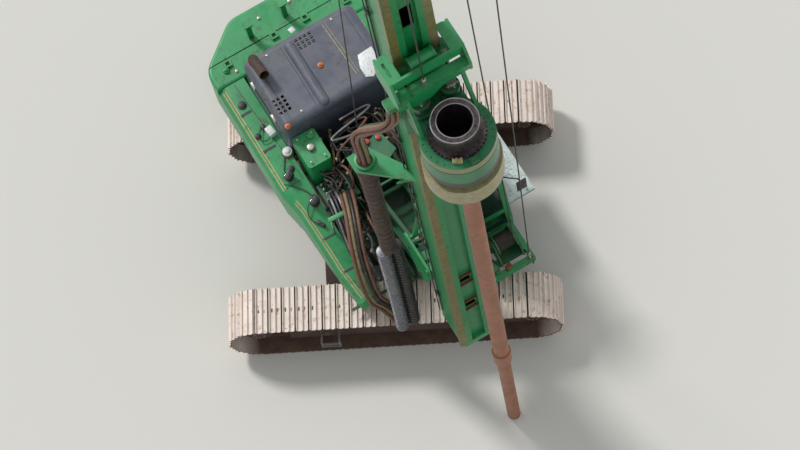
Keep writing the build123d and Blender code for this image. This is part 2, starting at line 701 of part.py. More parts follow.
def tank_box():
    """The tall box beside the winch, with rounded edges and a filler cap."""
    x, y, top = TANK
    box = block(x, y, (BASE_TOP, top))
    box = fillet(box.edges().filter_by(Axis.Z), TANK_EDGE)
    neck = (x[0] + 2 * TANK_EDGE, y[1] - 2 * TANK_EDGE)
    return box + round_z(neck, TANK_EDGE, (top, top + 40))


def valve_block():
    """The valve block with its rows of hose unions on top."""
    x, y, top = VALVES
    block_row = block(x, y, (BASE_TOP, top))
    for place in Pos(x[0] + 150, (y[0] + y[1]) / 2) * GridLocations(100, 80, 3, 6):
        block_row += slab_xy(place * Circle(UNION_RADIUS), (top, top + UNION_HEIGHT))
    return block_row


def winch_frame(centre, half, bottom, radius):
    """Two cheeks with a bearing eye each, standing on a bottom face."""
    frame = None
    for y in (-half - CHEEK, half):
        outline = strap((centre[0], centre[1], radius), (centre[0] - WINCH_BASE, bottom + 40, 40),
                        (centre[0] + WINCH_BASE, bottom + 40, 40))
        cheek = slab_xz(outline, (y, y + CHEEK))
        frame = cheek if frame is None else frame + cheek
    frame += block((centre[0] - WINCH_BASE, centre[0] + WINCH_BASE), (-half, half), (bottom, bottom + CHEEK))
    return frame - round_y(centre, WINCH_SHAFT + PIN_GAP, (-half - CHEEK - 1, half + CHEEK + 1))


def winch_drum(centre, half, radius):
    """A drum with two flanges and a shaft that runs in the cheeks."""
    room = half - DRUM_GAP
    drum = round_y(centre, radius * DRUM_CORE, (-room, room))
    for y in (-room, room - FLANGE_PLATE):
        drum += round_y(centre, radius, (y, y + FLANGE_PLATE))
    return drum + round_y(centre, WINCH_SHAFT, (-half - CHEEK, half + CHEEK))


def service_frame():
    """A frame of square tube on the main webs, with rungs and a raised plate to stand on."""
    rear, front = SERVICE_X
    low = SERVICE_RAIL - SERVICE_POST
    across = (WEB_INNER - RUNG / 3, WEB_INNER - RUNG / 3 + SERVICE_POST)
    side = block((rear, front), across, (low, SERVICE_RAIL))
    side += block((rear, rear + SERVICE_POST), across, (WEB_TOP, low))
    side += block((front - SERVICE_POST, front), across, (C[1] + LUG_RISE, low))
    frame = None
    for piece in both_sides(side):
        frame = piece if frame is None else frame + piece
    step = (front - rear - SERVICE_POST) / (RUNGS - 1)
    for n in range(RUNGS):
        x = rear + SERVICE_POST + n * step
        frame += block((x - RUNG, x), (-across[0], across[0]), (low, SERVICE_RAIL))
        if n < 2:
            for y in STANDS:
                frame += block((x - RUNG, x), (y, y + RUNG), (SERVICE_RAIL, SERVICE_TOP - RUNG))
    return frame + slab_xy(polygon(*SERVICE_PLATE), (SERVICE_TOP - RUNG, SERVICE_TOP))


# Cab

def cab_outline():
    return polygon((CAB_REAR, CAB_BOTTOM), (CAB_FRONT, CAB_BOTTOM), (CAB_FRONT, CAB_KNEE),
                   (CAB_FRONT_TOP, CAB_TOP), (CAB_REAR, CAB_TOP))


def cab_shell():
    """The cab's floor, posts and roof, with the windows and the doorway cut through."""
    outline = fillet(cab_outline().vertices().group_by(Axis.Y)[-1], CAB_RADIUS)
    shell = slab_xz(outline, (CAB_RIGHT, CAB_LEFT))
    shell -= slab_xz(offset(outline, -CAB_WALL), (CAB_RIGHT + CAB_WALL, CAB_LEFT - CAB_WALL))
    across = (CAB_RIGHT + CAB_POST, CAB_LEFT - CAB_POST)
    right = (CAB_RIGHT - 1, CAB_RIGHT + CAB_WALL + 1)
    left = (CAB_LEFT - CAB_WALL - 1, CAB_LEFT + 1)
    glass = (GLASS_LOW, GLASS_HIGH)
    shell -= block((CAB_FRONT_TOP - 200, CAB_FRONT + 50), across, SCREEN)
    shell -= block((CAB_FRONT - 150, CAB_FRONT + 50), across, FOOT_SCREEN)
    shell -= block((CAB_REAR - 1, CAB_REAR + CAB_WALL + 1), across, glass)
    shell -= block(ROOF_WINDOW, across, (CAB_TOP - CAB_WALL - 1, CAB_TOP + 1))
    shell -= block(RIGHT_WINDOW, right, glass)
    shell -= block((DOOR_REAR, DOOR_FRONT), left, (DOOR_BOTTOM, DOOR_TOP))
    return shell - block(QUARTER_WINDOW, left, glass)


def cab_floor():
    """The console that carries the cab above the deck."""
    return block((CAB_REAR, CAB_FRONT), (BASE_HALF + RUNNING_GAP, DECK_OUTER), (BASE_TOP, CAB_BOTTOM))


def cab_door():
    """The door: a framed panel with its window cut, and two knuckles on the hinge line."""
    x = (DOOR_REAR + DOOR_GAP, DOOR_FRONT - DOOR_GAP)
    y = (CAB_LEFT - CAB_WALL + 5, CAB_LEFT)
    z = (DOOR_BOTTOM + DOOR_GAP, DOOR_TOP - DOOR_GAP)
    door = block(x, y, z)
    across = (x[0] + DOOR_FRAME, x[1] - DOOR_FRAME)
    through = (y[0] - 1, y[1] + 1)
    door -= block(across, through, (GLASS_LOW, z[1] - DOOR_FRAME))
    door -= block(across, through, (z[0] + DOOR_PANEL, SCREEN[0]))
    for low in (z[0] + DOOR_PANEL, z[1] - 2 * KNUCKLE_HEIGHT):
        door += block((HINGE[0], x[0] + 60), (y[1], y[1] + 12), (low, low + KNUCKLE_HEIGHT))
        door += round_z(HINGE, KNUCKLE, (low, low + KNUCKLE_HEIGHT))
    return door


def cab_seat():
    seat = block((150, 250), SEAT_Y, (1950, 2450))
    seat += block((200, 700), SEAT_Y, (1800, 1950))
    return seat + block((300, 600), (SEAT_Y[0] + 100, SEAT_Y[1] - 100), (CAB_BOTTOM + CAB_WALL, 1800))


def walkway():
    """The step plate along the cab's left side on two brackets."""
    low = WALK_TOP - WALK_DEPTH
    plate = block((WALK_REAR, WALK_FRONT), (CAB_LEFT, WALK_OUTER), (low, WALK_TOP))
    gusset = polygon((CAB_LEFT, low), (WALK_OUTER - 80, low), (CAB_LEFT, low - 110))
    for x in (WALK_REAR + 250, WALK_FRONT - 250):
        plate += slab_yz(gusset, (x, x + GUSSET))
    return plate


def front_platform():
    """The frame in front of the cab that carries the auxiliary winch."""
    x = (CAB_FRONT, PLATFORM_FRONT)
    y = (CAB_RIGHT + 60, PLATFORM_LEFT)
    z = (BASE_BOTTOM + 30, PLATFORM_TOP)
    frame = block(x, y, z) - block((x[0] - 1, x[1] - PLATFORM_BAR), (y[0] + PLATFORM_BAR, y[1] - PLATFORM_BAR),
                                   (z[0] - 1, z[1] + 1))
    for bar in PLATFORM_BARS:
        frame += block((bar, bar + PLATFORM_BAR), (y[0] + 1, y[1] - 1), z)
    return frame


# Boom

def arm_direction():
    span = (B[0] - A[0], B[1] - A[1])
    length = math.hypot(*span)
    return (span[0] / length, span[1] / length)


ALONG = arm_direction()
J = (A[0] + ALONG[0] * ARM_ALONG + ALONG[1] * ARM_BELOW, A[1] + ALONG[1] * ARM_ALONG - ALONG[0] * ARM_BELOW)


def lower_arm():
    half = WEB_INNER - SIDE_GAP
    arm = slab_xz(strap((*A, ARM_HALF), (*B, ARM_HALF - 20)), (-half, half))
    for y in (-BOOM_CYLINDER_Y, BOOM_CYLINDER_Y):
        for ear in (y - 75, y + 50):
            lug = slab_xz(strap((*J, 75), (*between(A, B, 0.5), 120), (*between(A, B, 0.75), 100)), (ear, ear + 25))
            arm += lug
        arm += round_y(J, CYLINDER_PIN, (y - 75, y + 75))
    reach = WEB_INNER + WEB + 20
    for pivot in (A, B):
        arm += round_y(pivot, PIN, (-reach, reach))
    return arm


def upper_links():
    links = []
    for y in (-LINK_Y, LINK_Y):
        low = y - LINK_THICKNESS / 2
        link = slab_xz(strap((*C, 85), (*D, 85)), (low, low + LINK_THICKNESS))
        links.append(link)
    rod = round_y(C, SMALL_PIN, (-WEB_INNER - WEB - 15, WEB_INNER + WEB + 15))
    rod += round_y(D, SMALL_PIN, (-WEB_INNER - WEB - 15, WEB_INNER + WEB + 15))
    for link in links:
        rod += link
    return rod


def mast_bracket():
    """Two cheeks round the arm's end, the link and the mast's pivot, joined by a cross box."""
    outline = strap((*B, 160), (*D, 130), (*F, 120), (*E, 140))
    cheek = slab_xz(outline, (WEB_INNER, WEB_INNER + WEB))
    for pivot, radius in ((B, PIN), (D, SMALL_PIN), (E, PIN)):
        cheek -= round_y(pivot, radius + PIN_GAP, (WEB_INNER - 1, WEB_INNER + WEB + 1))
    bracket = None
    for side in both_sides(cheek):
        bracket = side if bracket is None else bracket + side
    cross = slab_xz(Pos(1990, 2990) * Rectangle(160, 460), (-WEB_INNER, WEB_INNER))
    bracket += cross
    return bracket + round_y(F, SMALL_PIN, (-WEB_INNER, WEB_INNER))


def cylinder_parts(start, end, sides, barrel_radius, rod_radius, pin, barrel_share):
    """The barrels and the rods of a pair of cylinders between two pins."""
    span = (end[0] - start[0], end[1] - start[1])
    length = math.hypot(*span)
    tilt = math.degrees(math.atan2(span[0], span[1]))
    barrels = []
    rods = []
    for y in sides:
        place = Pos(start[0], y, start[1]) * Rot(0, tilt, 0)
        stop = length * barrel_share
        eye = Rot(90, 0, 0) * Cylinder(barrel_radius * 0.85, 90)
        barrel = Pos(0, 0, (stop + pin) / 2) * Cylinder(barrel_radius, stop - pin)
        barrel += eye
        barrel -= Rot(90, 0, 0) * Cylinder(pin + PIN_GAP, 100)
        barrel -= Pos(0, 0, stop / 2 + 1.5 * pin) * Cylinder(rod_radius + PIN_GAP, stop - pin + 2)
        barrels.append(place * barrel)
        rod = Pos(0, 0, (stop * 0.75 + length - pin) / 2) * Cylinder(rod_radius, length - pin - stop * 0.75)
        rod += Pos(0, 0, length) * Rot(90, 0, 0) * Cylinder(pin + EYE_GAP + 22, 90)
        rod -= Pos(0, 0, length) * Rot(90, 0, 0) * Cylinder(pin + EYE_GAP, 100)
        rods.append(place * rod)
    return barrels, rods


# Mast

def mast_profile():
    """The mast's cross-section: a box with a recess in front between its two guide rails."""
    inner = MAST_HALF - RAIL_FACE
    outer = polygon((MAST_REAR, -MAST_HALF), (MAST_FRONT - RAIL_LIP_DEPTH, -MAST_HALF),
                    (MAST_FRONT - RAIL_LIP_DEPTH, -MAST_HALF - RAIL_LIP), (MAST_FRONT, -MAST_HALF - RAIL_LIP),
                    (MAST_FRONT, -inner), (MAST_FRONT - RECESS, -inner),
                    (MAST_FRONT - RECESS, inner), (MAST_FRONT, inner), (MAST_FRONT, MAST_HALF + RAIL_LIP),
                    (MAST_FRONT - RAIL_LIP_DEPTH, MAST_HALF + RAIL_LIP), (MAST_FRONT - RAIL_LIP_DEPTH, MAST_HALF),
                    (MAST_REAR, MAST_HALF))
    hollow = polygon((MAST_REAR + MAST_WALL, -MAST_HALF + MAST_WALL),
                     (MAST_FRONT - RECESS - MAST_WALL, -MAST_HALF + MAST_WALL),
                     (MAST_FRONT - RECESS - MAST_WALL, MAST_HALF - MAST_WALL),
                     (MAST_REAR + MAST_WALL, MAST_HALF - MAST_WALL))
    return outer, hollow


def mast_section(bottom, top, windows, height):
    """A length of mast, closed by a plate at each end, with windows in its front at given heights."""
    outer, hollow = mast_profile()
    section = slab_xy(outer - hollow, (bottom, top))
    for low in (bottom, top - FLANGE):
        section += slab_xy(outer, (low, low + FLANGE))
    inner = MAST_HALF - RAIL_FACE - WINDOW_SIDE
    front = (MAST_FRONT - RECESS - MAST_WALL - 1, MAST_FRONT - RECESS + 1)
    section -= [block(front, (-inner, inner), (low, low + height)) for low in windows]
    joint = MAST_JOINT - FLANGE if top == MAST_JOINT else MAST_JOINT
    wide = MAST_HALF + FLANGE_RISE
    ring = block((MAST_REAR - FLANGE_RISE, FLANGE_FRONT), (-wide, wide), (joint, joint + FLANGE))
    return section + (ring - slab_xy(hollow, (joint - 1, joint + FLANGE + 1)))


def mast_lower():
    """The lower length with the lugs of the tilt pivot and of the mast cylinders behind it."""
    section = mast_section(MAST_BOTTOM, MAST_JOINT, LOWER_WINDOWS, LOWER_WINDOW)
    for y in (-WEB_INNER + SIDE_GAP, WEB_INNER - SIDE_GAP - LUG):
        lug = slab_xz(strap((*E, 135), (MAST_REAR - 10, E[1] + 160, 10), (MAST_REAR - 10, E[1] - 160, 10)), (y, y + LUG))
        section += lug + block((MAST_REAR - 12, MAST_REAR + 5), (y, y + LUG), (E[1] - 165, E[1] + 165))
    section += round_y(E, PIN, (-WEB_INNER - WEB - 20, WEB_INNER + WEB + 20))
    for y in (-MAST_CYLINDER_Y, MAST_CYLINDER_Y):
        for ear in (y - 75, y + 50):
            lug = slab_xz(strap((*G, 85), (MAST_REAR - 10, G[1] + 110, 10), (MAST_REAR - 10, G[1] - 110, 10)),
                          (ear, ear + 25))
            lug += block((MAST_REAR - 12, MAST_REAR + 5), (ear, ear + 25), (G[1] - 115, G[1] + 115))
            section += lug
        section += round_y(G, SMALL_PIN, (y - 75, y + 75))
    return section


def mast_foot():
    """The rounded nose that closes the mast's lower end."""
    outline = make_face([
        Line((MAST_REAR, MAST_BOTTOM), (MAST_REAR, MAST_BOTTOM - 150)),
        Line((MAST_REAR, MAST_BOTTOM - 150), (MAST_REAR + 150, FOOT_BOTTOM)),
        Line((MAST_REAR + 150, FOOT_BOTTOM), (MAST_FRONT - 330, FOOT_BOTTOM)),
        ThreePointArc((MAST_FRONT - 330, FOOT_BOTTOM), (MAST_FRONT - 90, FOOT_BOTTOM + 100),
                      (MAST_FRONT - 10, MAST_BOTTOM - 80)),
        Line((MAST_FRONT - 10, MAST_BOTTOM - 80), (MAST_FRONT - 10, MAST_BOTTOM)),
        Line((MAST_FRONT - 10, MAST_BOTTOM), (MAST_REAR, MAST_BOTTOM)),
    ])
    return slab_xz(outline, (-MAST_HALF + 60, MAST_HALF - 60))


def mast_head():
    """The head frame: two cheeks over the mast's end with room for the sheaves, and a side jib."""
    outline = polygon((MAST_REAR, MAST_TOP + FLANGE), (MAST_FRONT, MAST_TOP + FLANGE), (MAST_FRONT + 350, SHEAVE_Z),
                      (MAST_FRONT + 200, HEAD_TOP), (MAST_REAR - 150, HEAD_TOP), (MAST_REAR - 350, SHEAVE_Z))
    head = block((MAST_REAR, MAST_FRONT), (-MAST_HALF, MAST_HALF), (MAST_TOP, MAST_TOP + FLANGE))
    cheek = slab_xz(outline, HEAD_CHEEK)
    for x in SHEAVE_X:
        cheek -= round_y((x, SHEAVE_Z), WINCH_SHAFT + PIN_GAP, (0, MAST_HALF))
    for side in both_sides(cheek):
        head += side
    root = HEAD_CHEEK[1] - 10
    jib = polygon((root, SHEAVE_Z - 550), (JIB_Y, SHEAVE_Z - 180), (JIB_Y, SHEAVE_Z + 20), (root, SHEAVE_Z + 60))
    return head + slab_yz(jib, JIB_X)


def sheave(x, y):
    """A grooved rope sheave."""
    wheel = round_y((x, SHEAVE_Z), SHEAVE_RADIUS - SHEAVE_GROOVE, (y[0] + 12, y[1] - 12))
    for low in (y[0], y[1] - SHEAVE_RIM):
        wheel += round_y((x, SHEAVE_Z), SHEAVE_RADIUS, (low, low + SHEAVE_RIM))
    return wheel


def head_sheaves(x):
    """A pair of sheaves on one shaft, which runs in the head's cheeks."""
    pair = round_y((x, SHEAVE_Z), WINCH_SHAFT, (-HEAD_CHEEK[1], HEAD_CHEEK[1]))
    for low in SHEAVE_Y:
        pair += sheave(x, (low, low + SHEAVE_WIDTH))
    return pair


def hose_clamp():
    """The bracket on the mast's right side that carries the hose sleeve."""
    x, y = SLEEVE
    wide = SLEEVE_RADIUS + 60
    plate = polygon((MAST_REAR + 60, -MAST_HALF), (MAST_REAR + 330, -MAST_HALF), (x + 60, y - wide), (x - wide, y - wide),
                    (x - wide, y + wide - 60))
    ring = slab_xy(plate, CLAMP)
    web = slab_yz(polygon((-MAST_HALF, CLAMP[0] - 200), (-MAST_HALF, CLAMP[0]), (-MAST_HALF - 260, CLAMP[0])),
                  (MAST_REAR + 180, MAST_REAR + 210))
    return ring + web - round_z(SLEEVE, SLEEVE_RADIUS + RUNNING_GAP, (CLAMP[0] - 1, CLAMP[1] + 1))


def tube(points, radius):
    """A hose along straight runs joined by tangent arcs as large as the runs allow."""
    places = [Vector(*point) for point in points]
    runs = [end - start for start, end in zip(places, places[1:])]
    bends = []
    for before, after in zip(runs, runs[1:]):
        half_turn = math.radians(before.get_angle(after)) / 2
        bends.append(BEND_SHARE * min(before.length, after.length) / math.tan(half_turn))
    path = FilletPolyline(*places, radius=bends)
    print("hose length", round(path.length), "bend radii", [round(bend) for bend in bends])
    return sweep(Plane(origin=path @ 0, z_dir=path % 0) * Circle(radius), path=path)


def hoses(route, places, radius):
    """Hoses side by side along one route, each a share of the ribbon's width to the left."""
    return [tube([(x, y + beside, z) for x, y, z in route], radius) for beside in places]


# Drive

def sledge():
    """The part that wraps the mast's rails, with shoes before and behind them at its four corners."""
    lip = MAST_HALF + RAIL_LIP + SHOE_GAP
    front = MAST_FRONT + SHOE_GAP
    rear = MAST_FRONT - RAIL_LIP_DEPTH - SHOE_GAP
    outer = lip + SLEDGE_SIDE
    frame = block((front, front + SLEDGE_PLATE), (-outer, outer), (CARRIAGE_BOTTOM, SLEDGE_TOP))
    for side in (-1, 1):
        frame += block((rear - SLEDGE_PLATE, front + 10), sorted((side * lip, side * outer)),
                       (CARRIAGE_BOTTOM, SLEDGE_TOP))
        for low in SLEDGE_SHOES:
            frame += block((rear - SLEDGE_PLATE, rear + SHOE_GAP - RUNNING_GAP),
                           sorted((side * (MAST_HALF + SHOE_GAP), side * (lip + 1))), (low, low + SLEDGE_SHOE))
            frame += block((MAST_FRONT + RUNNING_GAP, front + 1),
                           sorted((side * (MAST_HALF - RAIL_FACE + 30), side * MAST_HALF)), (low, low + SLEDGE_SHOE))
    return frame


def carriage():
    """The sledge and the yoke above it: side plates, two cross beams, corner plates, struts and a feed drum."""
    frame = sledge()
    inner, outer = YOKE_SIDE
    sledge_side = MAST_HALF + RAIL_LIP + SHOE_GAP + SLEDGE_SIDE
    sledge_front = MAST_FRONT + SHOE_GAP + SLEDGE_PLATE
    side_outline = polygon((YOKE_REAR, 12050), (YOKE_FRONT - 160, 11950), (YOKE_FRONT, 12040), (YOKE_FRONT, SLEDGE_TOP),
                           (YOKE_FRONT - 160, YOKE_TOP), (YOKE_REAR, YOKE_TOP))
    corner = polygon((YOKE_REAR, sledge_side - 30), (REAR_BEAM[0][1], sledge_side - 30), (REAR_BEAM[0][1], outer),
                     (YOKE_REAR, outer))
    corner = fillet(corner.vertices().sort_by(Axis.X)[:2].sort_by(Axis.Y)[-1], 120)
    link = block((YOKE_REAR, sledge_front), (sledge_side - 30, outer), (SLEDGE_TOP - 150, SLEDGE_TOP - 110))
    strut = polygon((3460, 12100), (3540, 12100), (3830, HOUSING_TOP), (3730, HOUSING_TOP))
    half = slab_xz(side_outline, YOKE_SIDE) + slab_xy(corner, (YOKE_TOP - CORNER_PLATE, YOKE_TOP)) + link
    half += slab_xz(strut, STRUT_Y)
    for side in both_sides(half):
        frame += side
    frame += block(REAR_BEAM[0], (-inner - 5, inner + 5), REAR_BEAM[1])
    fascia = polygon((-outer, SLEDGE_TOP), (outer, SLEDGE_TOP), (outer, 12080), (100, 12040), (-60, 11900),
                     (-300, 11860), (-outer, 12000))
    frame += slab_yz(fascia, FRONT_BEAM)
    frame -= block((3060, 3290), (-500, -460), (YOKE_TOP - CORNER_PLATE - 1, YOKE_TOP + 1))
    drum = round_y(FEED_DRUM, FEED_DRUM_RADIUS, (-FEED_DRUM_HALF, FEED_DRUM_HALF))
    for y in (-FEED_DRUM_HALF, FEED_DRUM_HALF - FLANGE_PLATE):
        drum += round_y(FEED_DRUM, FEED_DRUM_RADIUS + FEED_DRUM_RIM, (y, y + FLANGE_PLATE))
        drum += block((sledge_front - SLEDGE_PLATE, REAR_BEAM[0][0] + 5), (y, y + FLANGE_PLATE), (SLEDGE_TOP - 5, FEED_DRUM[1]))
    return frame + drum + block(*MANIFOLD)


def drive_housing():
    """The round gear case, grooved below its top, with its neck, guard ring and saddle."""
    centre = (DRILL_X, 0)
    place = Pos(*centre)
    case = round_z(centre, HOUSING_RADIUS, (HOUSING_BOTTOM, HOUSING_TOP))
    case -= slab_xy(place * (Circle(HOUSING_RADIUS + 1) - Circle(HOUSING_RADIUS - 12)), HOUSING_GROOVE)
    case += round_z(centre, HOUSING_NECK, (GUARD_TOP - 5, HOUSING_BOTTOM))
    saddle = MAST_FRONT + SHOE_GAP + SLEDGE_PLATE
    case += block((saddle, DRILL_X), (-SADDLE_HALF, SADDLE_HALF), (HOUSING_BOTTOM + SADDLE_DROP, HOUSING_TOP))
    guard = Circle(GUARD_RADIUS) - Circle(GUARD_RADIUS - GUARD_WALL)
    case += slab_xy(place * guard, (GUARD_BOTTOM, GUARD_TOP))
    case += round_z(centre, GUARD_RADIUS, (GUARD_TOP - GUARD_WALL, GUARD_TOP))
    x, y, height = SENSOR_BOX
    case += block(x, y, (HOUSING_TOP - 5, HOUSING_TOP + height))
    return case - round_z(centre, SPINDLE_RADIUS + SIDE_GAP / 2, (GUARD_BOTTOM - 1, HOUSING_TOP + height + 1))


def drive_motors():
    """Two hydraulic motors: (radius, start and end above the housing)."""
    stack = [(150, 0, 100), (120, 100, 260), (135, 260, 290), (85, 290, 340)]
    motors = []
    for x, y in MOTORS:
        motor = None
        for radius, start, end in stack:
            ring = round_z((x, y), radius, (HOUSING_TOP + start, HOUSING_TOP + end))
            motor = ring if motor is None else motor + ring
        motors.append(motor)
    return motors


def spindle():
    """The hollow spindle with a lip at its mouth and a toothed ring just above the housing."""
    place = Pos(DRILL_X, 0)
    tube_ring = place * (Circle(SPINDLE_RADIUS) - Circle(SPINDLE_BORE))
    piece = slab_xy(tube_ring, (SPINDLE_BOTTOM, SPINDLE_TOP))
    piece += slab_xy(place * (Circle(SPINDLE_LIP) - Circle(SPINDLE_BORE)), (SPINDLE_TOP - 50, SPINDLE_TOP))
    teeth = place * (toothed(RING_ROOT, RING_TIP, RING_TEETH) - Circle(SPINDLE_BORE))
    piece += slab_xy(teeth, (HOUSING_TOP + RUNNING_GAP, HOUSING_TOP + 60))
    return piece + round_z((DRILL_X, 0), SPINDLE_RADIUS, (SPINDLE_BOTTOM - SPINDLE_FOOT, SPINDLE_BOTTOM))


def rod_upper():
    """The drill rod down to its collar, with the flange that bolts to the spindle."""
    centre = (DRILL_X, 0)
    top = SPINDLE_BOTTOM - SPINDLE_FOOT
    rod = round_z(centre, ROD_RADIUS, (COLLAR_TOP, top - ROD_FLANGE_HEIGHT))
    return rod + round_z(centre, ROD_FLANGE, (top - ROD_FLANGE_HEIGHT, top))


def rod_collar():
    centre = (DRILL_X, 0)
    return round_z(centre, COLLAR_RADIUS, (COLLAR_BOTTOM, COLLAR_TOP))


def rod_lower():
    return round_z((DRILL_X, 0), ROD_TIP_RADIUS, (ROD_END, COLLAR_BOTTOM))


# Writing the pieces

def main():
    turn = Rot(0, 0, TRACK_YAW)
    beside = Pos(0, AUX_WINCH_Y, 0)
    lower = {"carbody": carbody(), "side_step": side_step(-1)}
    for name, side in (("left", 1), ("right", -1)):
        lower[f"track_frame_{name}"] = track_frame(side)
        lower[f"track_{name}"] = track_belt(side)
        lower[f"sprocket_{name}"] = sprocket(side)
        lower[f"idler_{name}"] = idler(side)
        lower[f"track_rollers_{name}"] = rollers(side)
    boom_barrels, boom_rods = cylinder_parts(H, J, (-BOOM_CYLINDER_Y, BOOM_CYLINDER_Y), 42, 25, CYLINDER_PIN, 0.62)
    mast_barrels, mast_rods = cylinder_parts(F, G, (-MAST_CYLINDER_Y, MAST_CYLINDER_Y), 44, 30, SMALL_PIN, 0.6)
    upper = {
        "main_frame": main_frame(),
        "counterweight": counterweight(),
        "side_deck_right": right_deck(),
        "side_deck_left": side_deck(1, DECK_REAR, WALK_REAR - WALK_GAP),
        "engine_hood": hood(),
        "engine_block": engine(),
        "exhaust_stack": exhaust_stack(),
        "tank_box": tank_box(),
        "valve_block": valve_block(),
        "service_frame": service_frame(),
        "main_winch_frame": winch_frame(MAIN_WINCH, MAIN_WINCH_HALF, WEB_TOP, MAIN_CHEEK),
        "main_winch_drum": winch_drum(MAIN_WINCH, MAIN_WINCH_HALF, MAIN_WINCH_RADIUS),
        "aux_winch_frame": beside * winch_frame(AUX_WINCH, AUX_WINCH_HALF, PLATFORM_TOP, AUX_CHEEK),
        "aux_winch_drum": beside * winch_drum(AUX_WINCH, AUX_WINCH_HALF, AUX_WINCH_RADIUS),
        "cab_floor": cab_floor(),
        "cab_shell": cab_shell(),
        "cab_door": cab_door(),
        "cab_seat": cab_seat(),
        "cab_walkway": walkway(),
        "front_platform": front_platform(),
        "lower_arm": lower_arm(),
        "upper_links": upper_links(),
        "mast_bracket": mast_bracket(),
        "boom_cylinder_barrels": boom_barrels,
        "boom_cylinder_rods": boom_rods,
        "mast_cylinder_barrels": mast_barrels,
        "mast_cylinder_rods": mast_rods,
        "mast_foot": mast_foot(),
        "mast_lower": mast_lower(),
        "mast_upper": mast_section(MAST_JOINT, MAST_TOP, UPPER_WINDOWS, UPPER_WINDOW),
        "mast_head": mast_head(),
        "head_sheave_rear": head_sheaves(SHEAVE_X[0]),
        "head_sheave_front": head_sheaves(SHEAVE_X[1]),
        "hose_clamp": hose_clamp(),
        "hose_sleeve": round_z(SLEEVE, SLEEVE_RADIUS, (SLEEVE_BOTTOM, SLEEVE_TOP)),
        "hose_loop": hoses(LOOP_ROUTE, LOOP_PLACES, LOOP_HOSE),
        "drive_hoses": hoses(DRIVE_ROUTE, DRIVE_PLACES, DRIVE_HOSE),
        "feed_carriage": carriage(),
        "drive_housing": drive_housing(),
        "drive_motors": drive_motors(),
        "drive_spindle": spindle(),
        "drill_rod": rod_upper(),
        "rod_collar": rod_collar(),
        "rod_tip": rod_lower(),
    }
    for name, piece in lower.items():
        write(name, piece, turn)
    for name, piece in upper.items():
        write(name, piece, Pos(0, 0, 0))


def write(name, piece, place):
    """One STEP file for a piece, or for a list of like pieces that don't touch."""
    solids = []
    for item in piece if isinstance(piece, list) else [piece]:
        solids.extend((place * item).solids())
    shape = solids[0] if len(solids) == 1 else Compound(children=solids)
    export_step(shape, f"parts/{name}.step")
    print(name, len(solids), round(sum(solid.volume for solid in solids) / 1e9, 4), "m3")


main()
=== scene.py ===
# %% [markdown]
# # A foundation drilling rig, seen from above
# The construction of the rig comes packed, in metres, with X forward, Y to its left and Z up.
# This lesson gives it its finishes and its fine pieces: hoses, ropes, rails, bolts and lamps.

# %% Open the frame
import bpy
import bmesh
import json
import math
import random
from mathutils import Matrix, Vector
from mathutils.bvhtree import BVHTree


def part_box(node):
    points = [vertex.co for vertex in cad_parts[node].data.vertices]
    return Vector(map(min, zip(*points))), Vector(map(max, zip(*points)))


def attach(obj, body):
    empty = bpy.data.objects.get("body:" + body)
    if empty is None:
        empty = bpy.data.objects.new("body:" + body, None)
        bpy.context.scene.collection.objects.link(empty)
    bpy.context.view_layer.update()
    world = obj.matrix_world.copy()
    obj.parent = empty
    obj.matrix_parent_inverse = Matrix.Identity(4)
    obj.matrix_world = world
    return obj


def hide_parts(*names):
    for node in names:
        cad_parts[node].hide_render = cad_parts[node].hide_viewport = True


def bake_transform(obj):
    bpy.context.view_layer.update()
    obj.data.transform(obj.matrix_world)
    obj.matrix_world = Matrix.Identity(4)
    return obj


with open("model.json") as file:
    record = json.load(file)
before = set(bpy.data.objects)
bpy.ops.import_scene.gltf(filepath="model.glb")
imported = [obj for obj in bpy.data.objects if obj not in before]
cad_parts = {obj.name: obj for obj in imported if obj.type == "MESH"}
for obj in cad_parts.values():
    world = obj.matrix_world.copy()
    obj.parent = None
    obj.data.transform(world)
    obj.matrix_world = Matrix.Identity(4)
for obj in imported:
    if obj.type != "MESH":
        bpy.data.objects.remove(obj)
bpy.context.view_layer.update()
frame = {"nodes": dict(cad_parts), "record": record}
nodes = frame["nodes"]
FORWARD = Vector((1, 0, 0))
UP = Vector((0, 0, 1))
print("solids in the frame:", len(nodes))

# %% [markdown]
# ## The camera
# The photograph was taken from high above the mast's front right, looking down at about 66
# degrees. A long lens keeps the mast from spreading as much as a wide one would. The place and
# the lens were fitted to both tracks, whose shoes have a known pitch.

# %% Place the camera
camera_data = bpy.data.cameras.new("camera")
camera_data.sensor_width = 36
camera_data.lens = 129.71
camera_data.clip_end = 500
camera = bpy.data.objects.new("camera", camera_data)
camera.location = (18.770, -5.391, 45.755)
camera.rotation_euler = (0.3917, 0.1014, 1.0462)
bpy.context.scene.collection.objects.link(camera)
bpy.context.scene.camera = camera
bpy.context.scene.view_settings.view_transform = "Standard"

# %% [markdown]
# ## Colours and shader nodes
# Paint colours are written as a painter's sRGB hex values, and Blender's shaders want linear
# light, so one function turns one into the other. One small function adds a shader node with
# its settings and its links, so that each material reads as a list of what it is made of.

# %% Helpers for materials
def colour(hex_value):
    """A linear colour from an sRGB hex value."""
    parts = [int(hex_value[n:n + 2], 16) / 255 for n in (1, 3, 5)]
    return [p / 12.92 if p <= 0.04045 else ((p + 0.055) / 1.055) ** 2.4 for p in parts] + [1.0]


def add(tree, kind, settings, links=None):
    """Adds one shader node, sets its values and links its inputs."""
    node = tree.nodes.new(kind)
    for name, value in settings.items():
        if isinstance(name, int) or name in node.inputs:
            node.inputs[name].default_value = value
        else:
            setattr(node, name, value)
    for name, source in (links or {}).items():
        tree.links.new(source, node.inputs[name])
    return node


